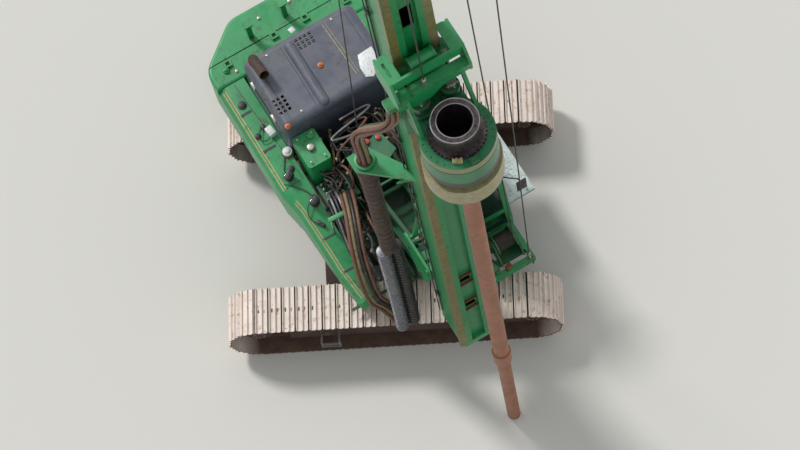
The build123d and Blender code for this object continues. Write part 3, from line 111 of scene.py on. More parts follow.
def finish(name, metallic, roughness):
    """A new material with its shader, and the tree that they are in."""
    material = bpy.data.materials.new(name)
    material.use_nodes = True
    tree = material.node_tree
    shader = tree.nodes["Principled BSDF"]
    shader.inputs["Metallic"].default_value = metallic
    shader.inputs["Roughness"].default_value = roughness
    return material, tree, shader


def object_place(tree):
    return add(tree, "ShaderNodeTexCoord", {}).outputs["Object"]


def surface_way(tree):
    return add(tree, "ShaderNodeNewGeometry", {}).outputs["Normal"]


def maths(tree, operation, *values):
    """The result of one sum with numbers and sockets."""
    numbers = {place: value for place, value in enumerate(values) if isinstance(value, (int, float))}
    sockets = {place: value for place, value in enumerate(values) if place not in numbers}
    return add(tree, "ShaderNodeMath", {"operation": operation, **numbers}, sockets).outputs[0]


def product(tree, first, second):
    return maths(tree, "MULTIPLY", first, second)


def dot(tree, first, second):
    """How far a place or a direction goes along another, which is a vector or a socket."""
    settings, links = {"operation": "DOT_PRODUCT"}, {0: first}
    (settings if isinstance(second, Vector) else links)[1] = second
    return add(tree, "ShaderNodeVectorMath", settings, links).outputs["Value"]


def ramp(tree, value, low, high):
    """A mask that goes from 0 to 1 as a value goes from low to high."""
    settings = {"From Min": low, "From Max": high}
    return add(tree, "ShaderNodeMapRange", settings, {"Value": value}).outputs["Result"]


def between(tree, value, low, high, blur):
    """A mask of the places where a value lies between two others."""
    above_low = ramp(tree, value, low - blur, low + blur)
    return product(tree, above_low, ramp(tree, value, high + blur, high - blur))


def band(tree, axis, low, high, blur, mirrored=False):
    """A mask of what lies between two places along one axis, in metres."""
    value = add(tree, "ShaderNodeSeparateXYZ", {}, {0: object_place(tree)}).outputs[axis]
    if mirrored:
        value = maths(tree, "ABSOLUTE", value)
    return between(tree, value, low, high, blur)


def speckle(tree, size_mm, low, high):
    """A soft mask of patches about size_mm across, from 0 below low to 1 above high."""
    noise = add(tree, "ShaderNodeTexNoise", {"Scale": 1000 / size_mm, "Detail": 4.0, "Roughness": 0.6},
                {"Vector": object_place(tree)})
    return ramp(tree, noise.outputs["Fac"], low, high)


def blend_colour(tree, mask, first, second):
    """One colour where the mask is 0, and another where it is 1."""
    mix = add(tree, "ShaderNodeMix", {"data_type": "RGBA"}, {0: mask})
    for socket, value in ((mix.inputs[6], first), (mix.inputs[7], second)):
        if isinstance(value, str):
            socket.default_value = colour(value)
        else:
            tree.links.new(value, socket)
    return mix.outputs[2]


def worn_edges(tree, width_mm):
    """A mask of the sharp edges, where paint is rubbed off."""
    rounded = add(tree, "ShaderNodeBevel", {"samples": 4, "Radius": width_mm / 1000}).outputs["Normal"]
    return ramp(tree, dot(tree, rounded, surface_way(tree)), 0.97, 0.85)


# %% [markdown]
# ## Machine enamel
# Construction machines are sprayed with a thick two-part enamel. Outdoors it fades in patches,
# dust lies on what faces up, and the edges are rubbed to primer and rust. Noise in millimetre
# scales gives the patches, the surface's own direction gives the dust, and a bevel lookup finds
# the edges.

# %% Enamels
GRIME = "#3B3423"
RUSTED_PRIMER = "#6B4A32"


def enamel(name, fresh, faded, dust, dust_share):
    """Sprayed paint that fades, gathers dust on what faces up and wears at its edges."""
    material, tree, shader = finish(name, 0.0, 0.42)
    paint = blend_colour(tree, speckle(tree, 900, 0.35, 0.7), fresh, faded)
    looks_up = ramp(tree, dot(tree, surface_way(tree), UP), 0.3, 0.95)
    settled = product(tree, looks_up, speckle(tree, 350, 0.35, 0.75))
    dusty = blend_colour(tree, product(tree, settled, dust_share), paint, dust)
    smears = product(tree, speckle(tree, 120, 0.52, 0.75), speckle(tree, 700, 0.4, 0.6))
    chips = product(tree, worn_edges(tree, 14), speckle(tree, 45, 0.45, 0.6))
    shade = blend_colour(tree, chips, blend_colour(tree, smears, dusty, GRIME), RUSTED_PRIMER)
    tree.links.new(shade, shader.inputs["Base Color"])
    rough = add(tree, "ShaderNodeMapRange", {"To Min": 0.34, "To Max": 0.68}, {"Value": settled})
    tree.links.new(rough.outputs["Result"], shader.inputs["Roughness"])
    return material


green_enamel = enamel("green_enamel", "#14864A", "#239A58", "#7FA284", 0.28)
dark_enamel = enamel("dark_green_enamel", "#115A36", "#196843", "#56644A", 0.45)
hood_enamel = enamel("violet_grey_enamel", "#484C5A", "#585C6A", "#7C7B7C", 0.5)
# The oily enamel is darkened for grease, and for painted shade under the hoses that lie over it
oily_shaded_enamel = enamel("oily_green_enamel_and_painted_shade", "#0F4A2C", "#1A5C38", "#2E3024", 0.85)


def over_paint(material, mask_of, first, second, patch_mm):
    """Lays a second colour over a finish where a mask says so: dirt and grease in some places, painted
    shade in others.
    """
    tree = material.node_tree
    shader = tree.nodes["Principled BSDF"]
    below = shader.inputs["Base Color"].links[0].from_socket
    laid_colour = blend_colour(tree, speckle(tree, patch_mm, 0.35, 0.68), first, second)
    tree.links.new(blend_colour(tree, mask_of(tree), below, laid_colour), shader.inputs["Base Color"])
    return material


# The mast's slides are greased along both front edges, and the drive has oily bands round it and a dark
# band of painted shade in the gap above its lower ring
mast_enamel = over_paint(
    enamel("greased_mast_enamel", "#14864A", "#1F8E50", "#6E9270", 0.2),
    lambda tree: product(tree, band(tree, "Y", 0.215, 0.40, 0.012, mirrored=True),
                         band(tree, "X", 2.93, 3.2, 0.02)),
    "#82763F", "#58643A", 110)
drive_enamel = enamel("oily_drive_enamel_and_painted_shade", "#0C6B40", "#157A4A", "#4E7E5E", 0.15)
# Each band: its lower and upper edge, how far they blur, its two colours and its patches in mm
DRIVE_BANDS = [
    (10.30, 10.90, 0.01, "#8A8258", "#A39A74", 90),
    (11.352, 11.485, 0.006, "#8C8654", "#6E7A4C", 60),
    # This dark band is painted shade in the gap between the housing and its lower ring
    (10.905, 11.02, 0.01, "#17201A", "#22281E", 60),
]
for low, high, blur, first, second, patch_mm in DRIVE_BANDS:
    over_paint(drive_enamel, lambda tree: band(tree, "Z", low, high, blur), first, second, patch_mm)

# %% [markdown]
# ## Steels
# Cast shoes are polished pale by the ground, drill pipe rusts evenly, and greased slides turn
# olive brown. Each is a metal or a rusted surface whose patches have a size in millimetres.

# %% Steels
def weathered(name, metallic, roughness, first, second, patch_mm, spots, spot_mm):
    """A finish in two colours that lie in patches, with spots of a third."""
    material, tree, shader = finish(name, metallic, roughness)
    ground = blend_colour(tree, speckle(tree, patch_mm, 0.35, 0.68), first, second)
    shade = blend_colour(tree, speckle(tree, spot_mm, 0.55, 0.72), ground, spots)
    tree.links.new(shade, shader.inputs["Base Color"])
    return material


shoe_steel = weathered("worn_shoe_steel", 0.1, 0.6, "#DCCDC2", "#E8DDD4", 180, "#B08C72", 90)
TRACK_YAW = math.radians(61.5)
TRACK_WAY = Vector((math.cos(TRACK_YAW), math.sin(TRACK_YAW), 0))
AXLE_WAY = Vector((-math.sin(TRACK_YAW), math.cos(TRACK_YAW), 0))
SHOE_PITCH = 0.2286
STRAIGHT_RUN = 4.62915      # from one end wheel's axle to the other's
MANY_SHOES = 100            # keeps the count of shoes above zero on both sides of the middle


def on_the_straight(tree, past, blur):
    """A mask of a track's straight runs, and of what lies a little past their ends."""
    reach = STRAIGHT_RUN / 2 + past
    return between(tree, dot(tree, object_place(tree), TRACK_WAY), -reach, reach, blur)


def each_shoe(tree, low, high, blur):
    """A mask of a strip of each shoe, between two shares of the pitch from its nearest gap."""
    along = dot(tree, object_place(tree), TRACK_WAY)
    half_run = STRAIGHT_RUN / 2 / SHOE_PITCH
    shoes = maths(tree, "MULTIPLY_ADD", along, 1 / SHOE_PITCH, half_run + MANY_SHOES + 0.5)
    strip = between(tree, maths(tree, "FRACT", shoes), low + 0.5, high + 0.5, blur)
    return product(tree, strip, on_the_straight(tree, 0, 0.01))


def shoe_gap_shade(tree):
    """The gap between one shoe and the next, painted dark as shade."""
    return each_shoe(tree, -0.055, 0.055, 0.012)


def shoe_hole_shade(tree):
    """The two mud holes in the middle of a shoe, painted dark as the shade inside them; dried mud fills
    them here and there.
    """
    across = maths(tree, "ABSOLUTE", dot(tree, object_place(tree), AXLE_WAY))
    holes = maths(tree, "MAXIMUM", each_shoe(tree, 0.22, 0.33, 0.02), each_shoe(tree, -0.33, -0.26, 0.02))
    open_holes = product(tree, holes, speckle(tree, 600, 0.42, 0.50))
    return product(tree, open_holes, between(tree, across, 1.745, 1.815, 0.008))


def lower_run_shade(tree):
    """The lower run of the tracks, painted dark brown as the shade that it lies in."""
    return product(tree, on_the_straight(tree, 0.2, 0.15), band(tree, "Z", -1.0, 0.50, 0.05))


def shoe_end_shade(tree):
    """A mask of the shoes' ends, which are painted dark as shade."""
    return ramp(tree, maths(tree, "ABSOLUTE", dot(tree, surface_way(tree), AXLE_WAY)), 0.5, 0.8)


# The shoes' gaps, holes, ends and lower run are painted dark as shade
over_paint(shoe_steel, shoe_gap_shade, "#2A1F1C", "#3A2A24", 60)
over_paint(shoe_steel, shoe_hole_shade, "#1E1614", "#2A1E1A", 60)
over_paint(shoe_steel, lower_run_shade, "#4E3A32", "#66503F", 150)
over_paint(shoe_steel, shoe_end_shade, "#4E3530", "#5E4238", 120)
frame_steel = weathered("muddy_frame_paint", 0.0, 0.7, "#3A2A28", "#4C3A34", 300, "#6A5648", 120)
rod_steel = weathered("rusted_pipe", 0.25, 0.62, "#8E5F45", "#A5725A", 400, "#6F6260", 90)
spindle_steel = weathered("oiled_dark_steel", 0.8, 0.30, "#463C40", "#6A5E60", 70, "#2A2224", 40)
greasy_steel = weathered("greased_slide", 0.2, 0.45, "#6B6238", "#566238", 260, "#3C3A24", 90)
burnt_steel = weathered("heat_stained_steel", 0.3, 0.7, "#3A2C28", "#4A3A34", 90, "#6A4634", 40)
engine_iron = weathered("engine_iron", 0.3, 0.6, "#2E2E30", "#3A3A3C", 150, "#1E1E20", 60)
bare_steel = weathered("bare_steel", 0.8, 0.4, "#8A8C8E", "#A0A2A4", 120, "#6E6A66", 50)
chrome = weathered("hard_chrome", 1.0, 0.12, "#C9CBCE", "#BEC0C4", 400, "#B0B2B6", 90)
seat_cloth = weathered("seat_cloth", 0.0, 0.9, "#1E1F24", "#26272C", 60, "#121216", 8)
hose_rubber = weathered("hose_rubber", 0.0, 0.5, "#3A302C", "#4C4038", 300, "#6E6250", 60)
step_plate = weathered("aluminium_step_plate", 0.6, 0.5, "#9AA6A2", "#B4BDBA", 300, "#7A8A84", 80)

finishes = {
    "track_steel": shoe_steel, "undercarriage_steel": frame_steel, "green_paint": green_enamel,
    "dark_green_paint": dark_enamel, "hood_paint": hood_enamel, "engine_iron": engine_iron,
    "burnt_steel": burnt_steel, "greasy_steel": greasy_steel, "dark_steel": spindle_steel,
    "cylinder_chrome": chrome, "rod_steel": rod_steel, "seat_fabric": seat_cloth,
    "step_aluminium": step_plate, "bolt_steel": bare_steel, "hose_rubber": hose_rubber,
}
own_finishes = {
    "mast_lower": mast_enamel, "mast_upper": mast_enamel, "drive_housing": drive_enamel,
    "main_frame": oily_shaded_enamel, "service_frame": dark_enamel, "lower_arm": oily_shaded_enamel,
    "upper_links": oily_shaded_enamel, "carbody": frame_steel,
}
for row in frame["record"]["subparts"]:
    solid = nodes[row["node"]]
    solid.data.materials.clear()
    solid.data.materials.append(own_finishes.get(row["node"], finishes[row["material_slot"]]))
print("finishes:", len(finishes))

# %% [markdown]
# ## Hoses that hang between the carriage and the mast
# Hydraulic hose is a rubber tube over woven steel wire. A bundle of four hangs in a loop, so that
# the boom and the mast can move without pulling it tight. Each hose is one smooth NURBS curve
# with a round bevel. The mesh made of it is cut across at two places, into three lengths.

# %% Hose helpers
def route_curve(name, points, radius):
    """A smooth curve through a route of points in metres, as thick as the radius."""
    data = bpy.data.curves.new(name, "CURVE")
    data.dimensions = "3D"
    data.resolution_u = 6
    data.bevel_depth = radius
    data.bevel_resolution = 3
    line = data.splines.new("NURBS")
    line.points.add(len(points) - 1)
    for target, point in zip(line.points, points):
        target.co = (*point, 1.0)
    line.order_u = 3
    line.use_endpoint_u = True
    return data


def curve_mesh(data):
    """The mesh of a curve."""
    holder = bpy.data.objects.new(data.name, data)
    bpy.context.scene.collection.objects.link(holder)
    mesh = bpy.data.meshes.new_from_object(holder.evaluated_get(bpy.context.evaluated_depsgraph_get()))
    bpy.data.objects.remove(holder)
    return mesh


def shifted(points, offset):
    return [tuple(a + b for a, b in zip(point, offset)) for point in points]


def piece(name, sketch, materials, body="upper_carriage", smooth=True):
    """An object made from a bmesh, in one material or a list of them, that rides on a body or on none."""
    mesh = bpy.data.meshes.new(name)
    sketch.to_mesh(mesh)
    sketch.free()
    for material in materials if isinstance(materials, list) else [materials]:
        mesh.materials.append(material)
    if smooth:
        mesh.shade_smooth()
    made = bpy.data.objects.new(name, mesh)
    bpy.context.scene.collection.objects.link(made)
    if body:
        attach(made, body)
    return made


def cut_at(sketch, x, way=FORWARD, clear=False):
    """Cuts all of a bmesh across at one X, and clears what lies beyond the cut if it is told to."""
    everything = sketch.verts[:] + sketch.edges[:] + sketch.faces[:]
    bmesh.ops.bisect_plane(sketch, geom=everything, plane_co=(x, 0, 0), plane_no=way, clear_outer=clear)


def cut_between(sketch, low, high):
    """A copy of a bmesh with only what lies between two values of X."""
    part = sketch.copy()
    cut_at(part, low, -FORWARD, clear=True)
    cut_at(part, high, clear=True)
    return part


# %% [markdown]
# ## Small pieces
# Bolts, lids, bars and boxes repeat all over the machine. Each starts from one of bmesh's own
# shapes, gets its place from a matrix and its soft edges from a bevel. Many share an object when
# they ride on the same body and have the same finish.

# %% Helpers for small pieces
def round_off(sketch, rim, size, segments=2, clamped=True):
    """Rounds some edges."""
    bmesh.ops.bevel(sketch, geom=rim, offset=size, segments=segments, profile=0.5, affect="EDGES",
                    material=-1, clamp_overlap=clamped)


def soften(sketch, corners, edge):
    """Rounds all the edges that meet at some corners."""
    round_off(sketch, list({line for corner in corners for line in corner.link_edges}), edge)


def block(sketch, low, high, edge=0.006, turn=0.0, lean=0.0):
    """Adds a box between two corners, turned about its upright line and leaned about Y, in degrees."""
    low, high = Vector(low), Vector(high)
    place = (Matrix.Translation((low + high) / 2) @ Matrix.Rotation(math.radians(turn), 4, "Z")
             @ Matrix.Rotation(math.radians(lean), 4, "Y") @ Matrix.Diagonal((*(high - low), 1)))
    made = bmesh.ops.create_cube(sketch, size=1.0, matrix=place)
    soften(sketch, made["verts"], edge)


def box_on(sketch, spot, size, edge=0.006, turn=0.0, lean=0.0):
    """Adds a box of a length, a width and a height that stands on a spot."""
    half = Vector((size[0] / 2, size[1] / 2, 0))
    block(sketch, Vector(spot) - half, Vector(spot) + half + UP * size[2], edge, turn, lean)


def turned_to(way):
    """The turn that points a shape's Z one way."""
    return way.to_track_quat("Z", "Y").to_matrix().to_4x4()


def disc(sketch, centre, axis, radius, depth, sides=24, edge=0.003, top=None):
    """Adds a round piece that stands on a centre and rises along an axis."""
    axis = Vector(axis).normalized()
    place = Matrix.Translation(Vector(centre) + axis * depth / 2) @ turned_to(axis)
    made = bmesh.ops.create_cone(sketch, cap_ends=True, segments=sides, radius1=radius,
                                 radius2=radius if top is None else top, depth=depth, matrix=place)
    rims = [line for line in {line for corner in made["verts"] for line in corner.link_edges}
            if any(len(face.verts) == sides for face in line.link_faces)]
    if edge:
        round_off(sketch, rims, edge)


def rod_between(sketch, start, end, radius, sides=10):
    """Adds a round bar from one point to another."""
    start, end = Vector(start), Vector(end)
    place = Matrix.Translation((start + end) / 2) @ turned_to(end - start)
    bmesh.ops.create_cone(sketch, cap_ends=True, segments=sides, radius1=radius, radius2=radius,
                          depth=(end - start).length, matrix=place)


def bolt(sketch, place, axis, size=0.018):
    """Adds a hexagon head, with the washer under it."""
    disc(sketch, place, axis, size * 1.35, size * 0.25, sides=12, edge=0)
    disc(sketch, Vector(place) + Vector(axis).normalized() * size * 0.2, axis, size, size * 0.75, sides=6,
         edge=size * 0.12)


def ring_of(centre, radius, count):
    """Places spaced evenly round an upright line."""
    return [Vector(centre) + Vector((radius * math.cos(turn), radius * math.sin(turn), 0))
            for turn in (number * math.tau / count for number in range(count))]


def arc_line(centre, across, up, count, whole=math.tau):
    """The points of a round line that starts across from its centre and turns upwards."""
    return [Vector(centre) + across * math.cos(turn) + up * math.sin(turn)
            for turn in (step * whole / count for step in range(count + 1))]


def tube(sketch, points, radius, straight=False, slot=0, roundness=3):
    """Adds a hose along smooth curves, or a bar along straight lines, in one of the piece's materials."""
    data = route_curve("tube", points, radius)
    data.bevel_resolution = roundness
    if straight:
        data.splines[0].order_u = 2
    mesh = curve_mesh(data)
    for face in mesh.polygons:
        face.material_index = slot
    sketch.from_mesh(mesh)
    bpy.data.meshes.remove(mesh)


def surface(mesh):
    """A mesh's surface, which tells how high something stands on it."""
    places = [corner.co for corner in mesh.vertices]
    return BVHTree.FromPolygons(places, [face.vertices for face in mesh.polygons])


ABOVE_ALL = 40              # metres, higher than the mast's head


def height_on(tree, x, y):
    """How high a surface is at a place, seen from above."""
    return tree.ray_cast(Vector((x, y, ABOVE_ALL)), -UP)[0].z


def spot_on(tree, x, y, rise=0.0):
    """The place on a surface above (x, y), or one a little over it."""
    return Vector((x, y, height_on(tree, x, y) + rise))


def nearest(tree, x, y, z):
    """The place on a surface that is nearest to a point."""
    return tree.find_nearest(Vector((x, y, z)))[0]


def ribbon(sketch, tree, route, width, thickness=0.003):
    """Adds a flat band that lies on a surface along a route of (x, y)."""
    edges = []
    for x, y in route:
        sides = [spot_on(tree, x, side, thickness) for side in (y + width / 2, y - width / 2)]
        edges.append(sketch.edges.new([sketch.verts.new(spot) for spot in sides]))
    faces = []
    for pair in zip(edges, edges[1:]):
        faces += bmesh.ops.bridge_loops(sketch, edges=pair)["faces"]
    bmesh.ops.recalc_face_normals(sketch, faces=faces)
    bmesh.ops.solidify(sketch, geom=faces, thickness=thickness)


def lathe(sketch, corners, pairs, axis, steps, centre=(0, 0, 0)):
    """Turns a line of corners a whole turn about an axis."""
    line = [sketch.edges.new(pair) for pair in pairs]
    bmesh.ops.spin(sketch, geom=corners + line, cent=centre, axis=axis, dvec=(0, 0, 0), angle=math.tau,
                   steps=steps, use_merge=True)
    bmesh.ops.holes_fill(sketch, edges=[edge for edge in sketch.edges if edge.is_boundary])
    bmesh.ops.recalc_face_normals(sketch, faces=sketch.faces)


print("helpers are ready")

# %% [markdown]
# ## Finishes of the small pieces
# Lids and lamps are moulded plastic, hose ends are zinc-plated steel, guards are wrapped webbing,
# and grease turns everything near the slides dark. They stay duller than the enamel, because dirt
# covers them.

# %% Finishes of the small pieces
white_plastic = weathered("white_plastic", 0.0, 0.45, "#D5DAD8", "#E6E8E4", 200, "#A9A69A", 40)
black_plastic = weathered("black_plastic", 0.0, 0.5, "#1B1C1F", "#26272B", 150, "#4B463E", 60)
red_cap = weathered("red_plastic_cap", 0.0, 0.4, "#A8352A", "#BC4234", 60, "#6B2A22", 20)
orange_cap = weathered("orange_plastic_knob", 0.0, 0.4, "#C8662C", "#D67A3A", 60, "#7A4222", 20)
zinc_steel = weathered("zinc_plated_steel", 0.7, 0.38, "#9C9A90", "#B4B2A6", 60, "#6E6450", 25)
rusted_steel = weathered("rusted_mild_steel", 0.1, 0.8, "#6E4630", "#85573B", 80, "#4A3226", 30)
silver_sleeve = weathered("silver_hose_sleeve", 0.5, 0.40, "#6A6B70", "#85868A", 90, "#3E3A36", 35)
khaki_hose = weathered("khaki_hose_cover", 0.0, 0.6, "#7A6A4C", "#8C7A58", 200, "#4C4232", 60)
brown_hose = weathered("dusty_brown_hose", 0.0, 0.6, "#6A4636", "#7B5442", 200, "#42302A", 60)
black_hose = weathered("black_hose", 0.0, 0.45, "#1E1D1E", "#2A2928", 200, "#4E473E", 70)
# Olive paint: a real colour on the hood's seams and the grease box, and a painted highlight along the
# deck's rounded edge
olive_paint_and_highlight = weathered("olive_paint_and_edge_highlight", 0.0, 0.6, "#A09A6A", "#B0A878", 200, "#6E6A48", 60)
pale_slat = weathered("pale_timber_slat", 0.0, 0.7, "#B8A88C", "#C6B79C", 90, "#8E7E64", 30)
amber_lens = weathered("amber_lens", 0.0, 0.25, "#C9862E", "#D6953A", 40, "#A86A22", 15)
glass_pane, _, glass_shader = finish("tinted_glass", 0.0, 0.06)
glass_shader.inputs["Base Color"].default_value = colour("#1C2A2A")
glass_shader.inputs["Alpha"].default_value = 0.55
print("small finishes are ready")

# %% [markdown]
# ## The loop of hoses
# From the sleeve two thick groups hang down, each wrapped in a spiral guard. At the bottom of the
# loop the four hoses come out of their guards and climb back to the valve block.

# %% Hang the loop
LOOP_ROUTE = [
    (2.120, -0.790, 4.600), (2.120, -0.790, 3.900), (2.130, -0.792, 3.150), (2.116, -0.798, 2.500),
    (2.128, -0.804, 1.980), (2.123, -0.812, 1.560), (2.120, -0.820, 1.285), (2.038, -0.842, 1.172),
    (1.905, -0.880, 1.129), (1.772, -0.920, 1.172), (1.690, -0.965, 1.285), (1.676, -1.045, 1.510),
    (1.662, -1.140, 1.790), (1.440, -1.130, 2.120), (1.090, -1.040, 2.400), (0.730, -0.900, 2.550),
    (0.420, -0.780, 2.540), (0.160, -0.700, 2.450), (-0.050, -0.645, 2.290), (-0.110, -0.630, 2.110),
    (-0.110, -0.630, 1.950),
]
LOOP_OFFSETS = [(0, across, 0) for across in (-0.102, -0.034, 0.034, 0.102)]
LOOP_COVERS = [brown_hose, khaki_hose, black_hose, brown_hose]
# Each length of the loop: its two bodies, the X where it starts and ends, and where it bends between them
LOOP_LENGTHS = [
    ("upper_carriage", "boom_arm", (-1.0, 0.55), (-0.1, 0.5)),
    ("boom_arm", "mast_bracket", (0.55, 1.05), (0.6, 1.0)),
    ("mast_bracket", "mast", (1.05, 4.0), (1.1, 1.66)),
]
loop = bmesh.new()
for number, offset in enumerate(LOOP_OFFSETS):
    tube(loop, shifted(LOOP_ROUTE, offset), 0.031, slot=number)
for number, (first, second, (low, high), (start, end)) in enumerate(LOOP_LENGTHS, 1):
    length = piece(f"hose_loop_{number}", cut_between(loop, low, high), LOOP_COVERS, body=None)
    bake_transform(length)
    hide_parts("hose_loop")
loop.free()


def route_line(points):
    """The points of a hose's own smooth line, read from its curve."""
    data = route_curve("line", points, 0.0)
    data.resolution_u = 16
    mesh = curve_mesh(data)
    line = [corner.co.copy() for corner in mesh.vertices]
    bpy.data.meshes.remove(mesh)
    return line


def wound(sketch, points, radius, wire, pitch):
    """Adds a spiral of flat guard round a hose's line."""
    line = route_line(points)
    turn, coil = 0.0, []
    for here, there in zip(line, line[1:]):
        step = there - here
        count = max(1, round(step.length / pitch * 10))
        across = step.cross(Vector((0.3, 1, 0.1))).normalized()
        for part in range(count):
            spot = here.lerp(there, part / count)
            coil.append(spot + (Matrix.Rotation(turn, 3, step.normalized()) @ across) * radius)
            turn += math.tau * step.length / count / pitch
    tube(sketch, coil, wire, straight=True)


# Each guard: its place across the loop, its radius, its finish and the spiral's pitch
GUARDS = [(-0.108, 0.098, silver_sleeve, 0.085), (0.108, 0.092, black_hose, 0.110)]
for number, (across, radius, cover, pitch) in enumerate(GUARDS, 1):
    route = shifted(LOOP_ROUTE[:6] + [(2.118, -0.822, 1.330)], (0, across, 0))
    guard = bmesh.new()
    tube(guard, route, radius)
    wound(guard, route, radius, 0.016, pitch)
    for end, way in ((route[0], (0, 0, -1)), (route[-1], (0, 0, 1))):
        disc(guard, end, way, radius + 0.012, 0.06, 28, 0.008)
    piece(f"hose_guard_{number}", guard, cover, "mast")

# %% [markdown]
# ## Sleeve and drive hoses
# Along the mast the hoses share one woven sleeve. Its cloth lies in rings where straps hold it, and
# the sleeve is a turned tube whose radius changes a little from ring to ring. Above its clamp the
# hoses spread and lead on to the drive.

# %% Dress the sleeve
sleeve_low, sleeve_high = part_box("hose_sleeve")
sleeve_middle = (sleeve_low + sleeve_high) / 2
sleeve_radius = (sleeve_high.x - sleeve_low.x) / 2
FOLD = 0.17
TUCKS = (0.014, 0.003, 0.0, 0.004)      # how far the cloth is drawn in, in turn along each fold
STRAPS = (4.75, 5.35, 6.0, 6.7, 7.35)
CLAMP_RING = 7.965


def on_sleeve(z):
    return Vector((sleeve_middle.x, sleeve_middle.y, z))


sleeve = bmesh.new()
steps = round((sleeve_high.z - sleeve_low.z) / FOLD) * len(TUCKS)
profile = []
for step in range(steps + 1):
    z = sleeve_low.z + (sleeve_high.z - sleeve_low.z) * step / steps
    profile.append(sleeve.verts.new(on_sleeve(z) + FORWARD * (sleeve_radius - TUCKS[step % len(TUCKS)])))
lathe(sleeve, profile, zip(profile, profile[1:]), UP, 36, on_sleeve(0))
sleeve_cloth = weathered("dirty_sleeve_cloth", 0.0, 0.85, "#3B2C26", "#4A3A32", 160, "#5E4C40", 45)
dressed = piece("hose_sleeve_dressed", sleeve, sleeve_cloth, "mast")
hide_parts("hose_sleeve")
straps = bmesh.new()
for z in STRAPS:
    disc(straps, on_sleeve(z), UP, sleeve_radius + 0.004, 0.035, 36, 0.004)
piece("sleeve_straps", straps, black_hose, "mast")
collar = bmesh.new()
disc(collar, on_sleeve(CLAMP_RING), UP, sleeve_radius + 0.022, 0.03, 36, 0.006)
piece("sleeve_green_ring", collar, green_enamel, "mast")

# %% Lead the hoses on to the drive
DRIVE_ROUTE = [
    (2.120, -0.790, 8.000), (2.120, -0.790, 8.430), (2.140, -0.820, 8.880), (2.260, -0.810, 9.300),
    (2.450, -0.760, 9.680), (2.680, -0.680, 10.050), (2.900, -0.600, 10.420), (3.050, -0.530, 10.800),
    (3.110, -0.500, 11.080), (3.110, -0.500, 11.300),
]
DRIVE_OFFSETS = [(0, -0.072, 0), (0, 0, 0), (0, 0.072, 0), (0.07, -0.036, 0), (0.07, 0.036, 0)]
DRIVE_COVERS = [brown_hose, khaki_hose, black_hose]
drive = bmesh.new()
for number, offset in enumerate(DRIVE_OFFSETS):
    tube(drive, shifted(DRIVE_ROUTE, offset), 0.030, slot=number % len(DRIVE_COVERS))
drive_hoses = piece("drive_hoses_dressed", drive, DRIVE_COVERS, body=None)
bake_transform(drive_hoses)
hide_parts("drive_hoses")
print("hose pieces:", len(LOOP_LENGTHS) + len(GUARDS) + 2)

# %% [markdown]
# ## Ropes
# A wire rope under load is a straight line from its drum to its sheave. The main rope runs over
# both head sheaves and down to the feed carriage. The auxiliary rope runs over a sheave that hangs
# under the jib, and back down to a ring on the platform. From the drum to the mast a rope crosses
# three joints, so its lowest stretch has three lengths.

# %% String the ropes
rope_steel = weathered("greased_wire_rope", 0.4, 0.5, "#33302C", "#46413A", 200, "#5E564A", 40)
ROPE_RADIUS = 0.011
MAIN_UP = [(-0.500, -0.110, 2.051), (2.157, -0.110, 20.392)]
MAIN_OVER = [
    (2.1537, -0.110, 20.35), (2.156, -0.110, 20.52), (2.28, -0.110, 20.646), (2.45, -0.110, 20.646),
    (3.25, -0.110, 20.646), (3.42, -0.110, 20.646), (3.544, -0.110, 20.52), (3.546, -0.110, 20.35),
]
MAIN_DOWN = [(3.546, -0.110, 20.35), (3.460, -0.110, 12.30)]
SOCKET_TOP = 12.33
JIB_CENTRE = Vector((2.75, 1.18, 19.72))
JIB_TURN = 42.5             # degrees from straight ahead
JIB_WAY = Vector((math.cos(math.radians(JIB_TURN)), math.sin(math.radians(JIB_TURN)), 0))
JIB_LINE = 0.2963           # from the sheave's middle out to the middle of the rope
AUX_UP = [(2.0005, 1.33, 1.72), JIB_CENTRE - JIB_WAY * JIB_LINE]
AUX_DOWN = [JIB_CENTRE + JIB_WAY * JIB_LINE, (2.23, 1.46, 1.58)]
ROPE_CUTS = [0.0, 0.03, 0.06, 1.0]
ROPE_BODIES = ["upper_carriage", "boom_arm", "mast_bracket", "mast"]


def crossing(name, start, end):
    """A rope from the carriage to the mast, in three lengths."""
    points = [Vector(start).lerp(Vector(end), share) for share in ROPE_CUTS]
    lengths = zip(ROPE_BODIES, ROPE_BODIES[1:], points, points[1:])
    for number, (first, second, low, high) in enumerate(lengths, 1):
        sketch = bmesh.new()
        rod_between(sketch, low, high, ROPE_RADIUS)
        length = piece(f"{name}_{number}", sketch, rope_steel, body=None)
        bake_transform(length)


crossing("main_rope", *MAIN_UP)
crossing("aux_rope", *AUX_UP)
crossing("aux_rope_down", *reversed(AUX_DOWN))
over = bmesh.new()
tube(over, MAIN_OVER, ROPE_RADIUS)
half_turn = arc_line(JIB_CENTRE, -JIB_WAY * JIB_LINE, UP * JIB_LINE, 16, math.pi)
tube(over, half_turn, ROPE_RADIUS, straight=True)
piece("ropes_over_sheaves", over, rope_steel, "mast")
down = bmesh.new()
rod_between(down, *MAIN_DOWN, ROPE_RADIUS)
down = piece("main_rope_down", down, rope_steel, body=None)
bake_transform(down)
sockets = bmesh.new()
rope_foot = spot_on(surface(nodes["feed_carriage"].data), *MAIN_DOWN[1][:2])
disc(sockets, rope_foot - UP * 0.005, UP, 0.032, SOCKET_TOP - rope_foot.z, 20, 0.006)
piece("feed_rope_socket", sockets, zinc_steel, "feed_carriage")
print("carriage top under the rope:", round(rope_foot.z, 3))

# %% [markdown]
# ## The decks
# Both decks have a rounded outer edge. Along the right one, which holds the tanks, run dark seams
# and two olive lines of painted highlight, and filler caps, small boxes and cables stand on it.

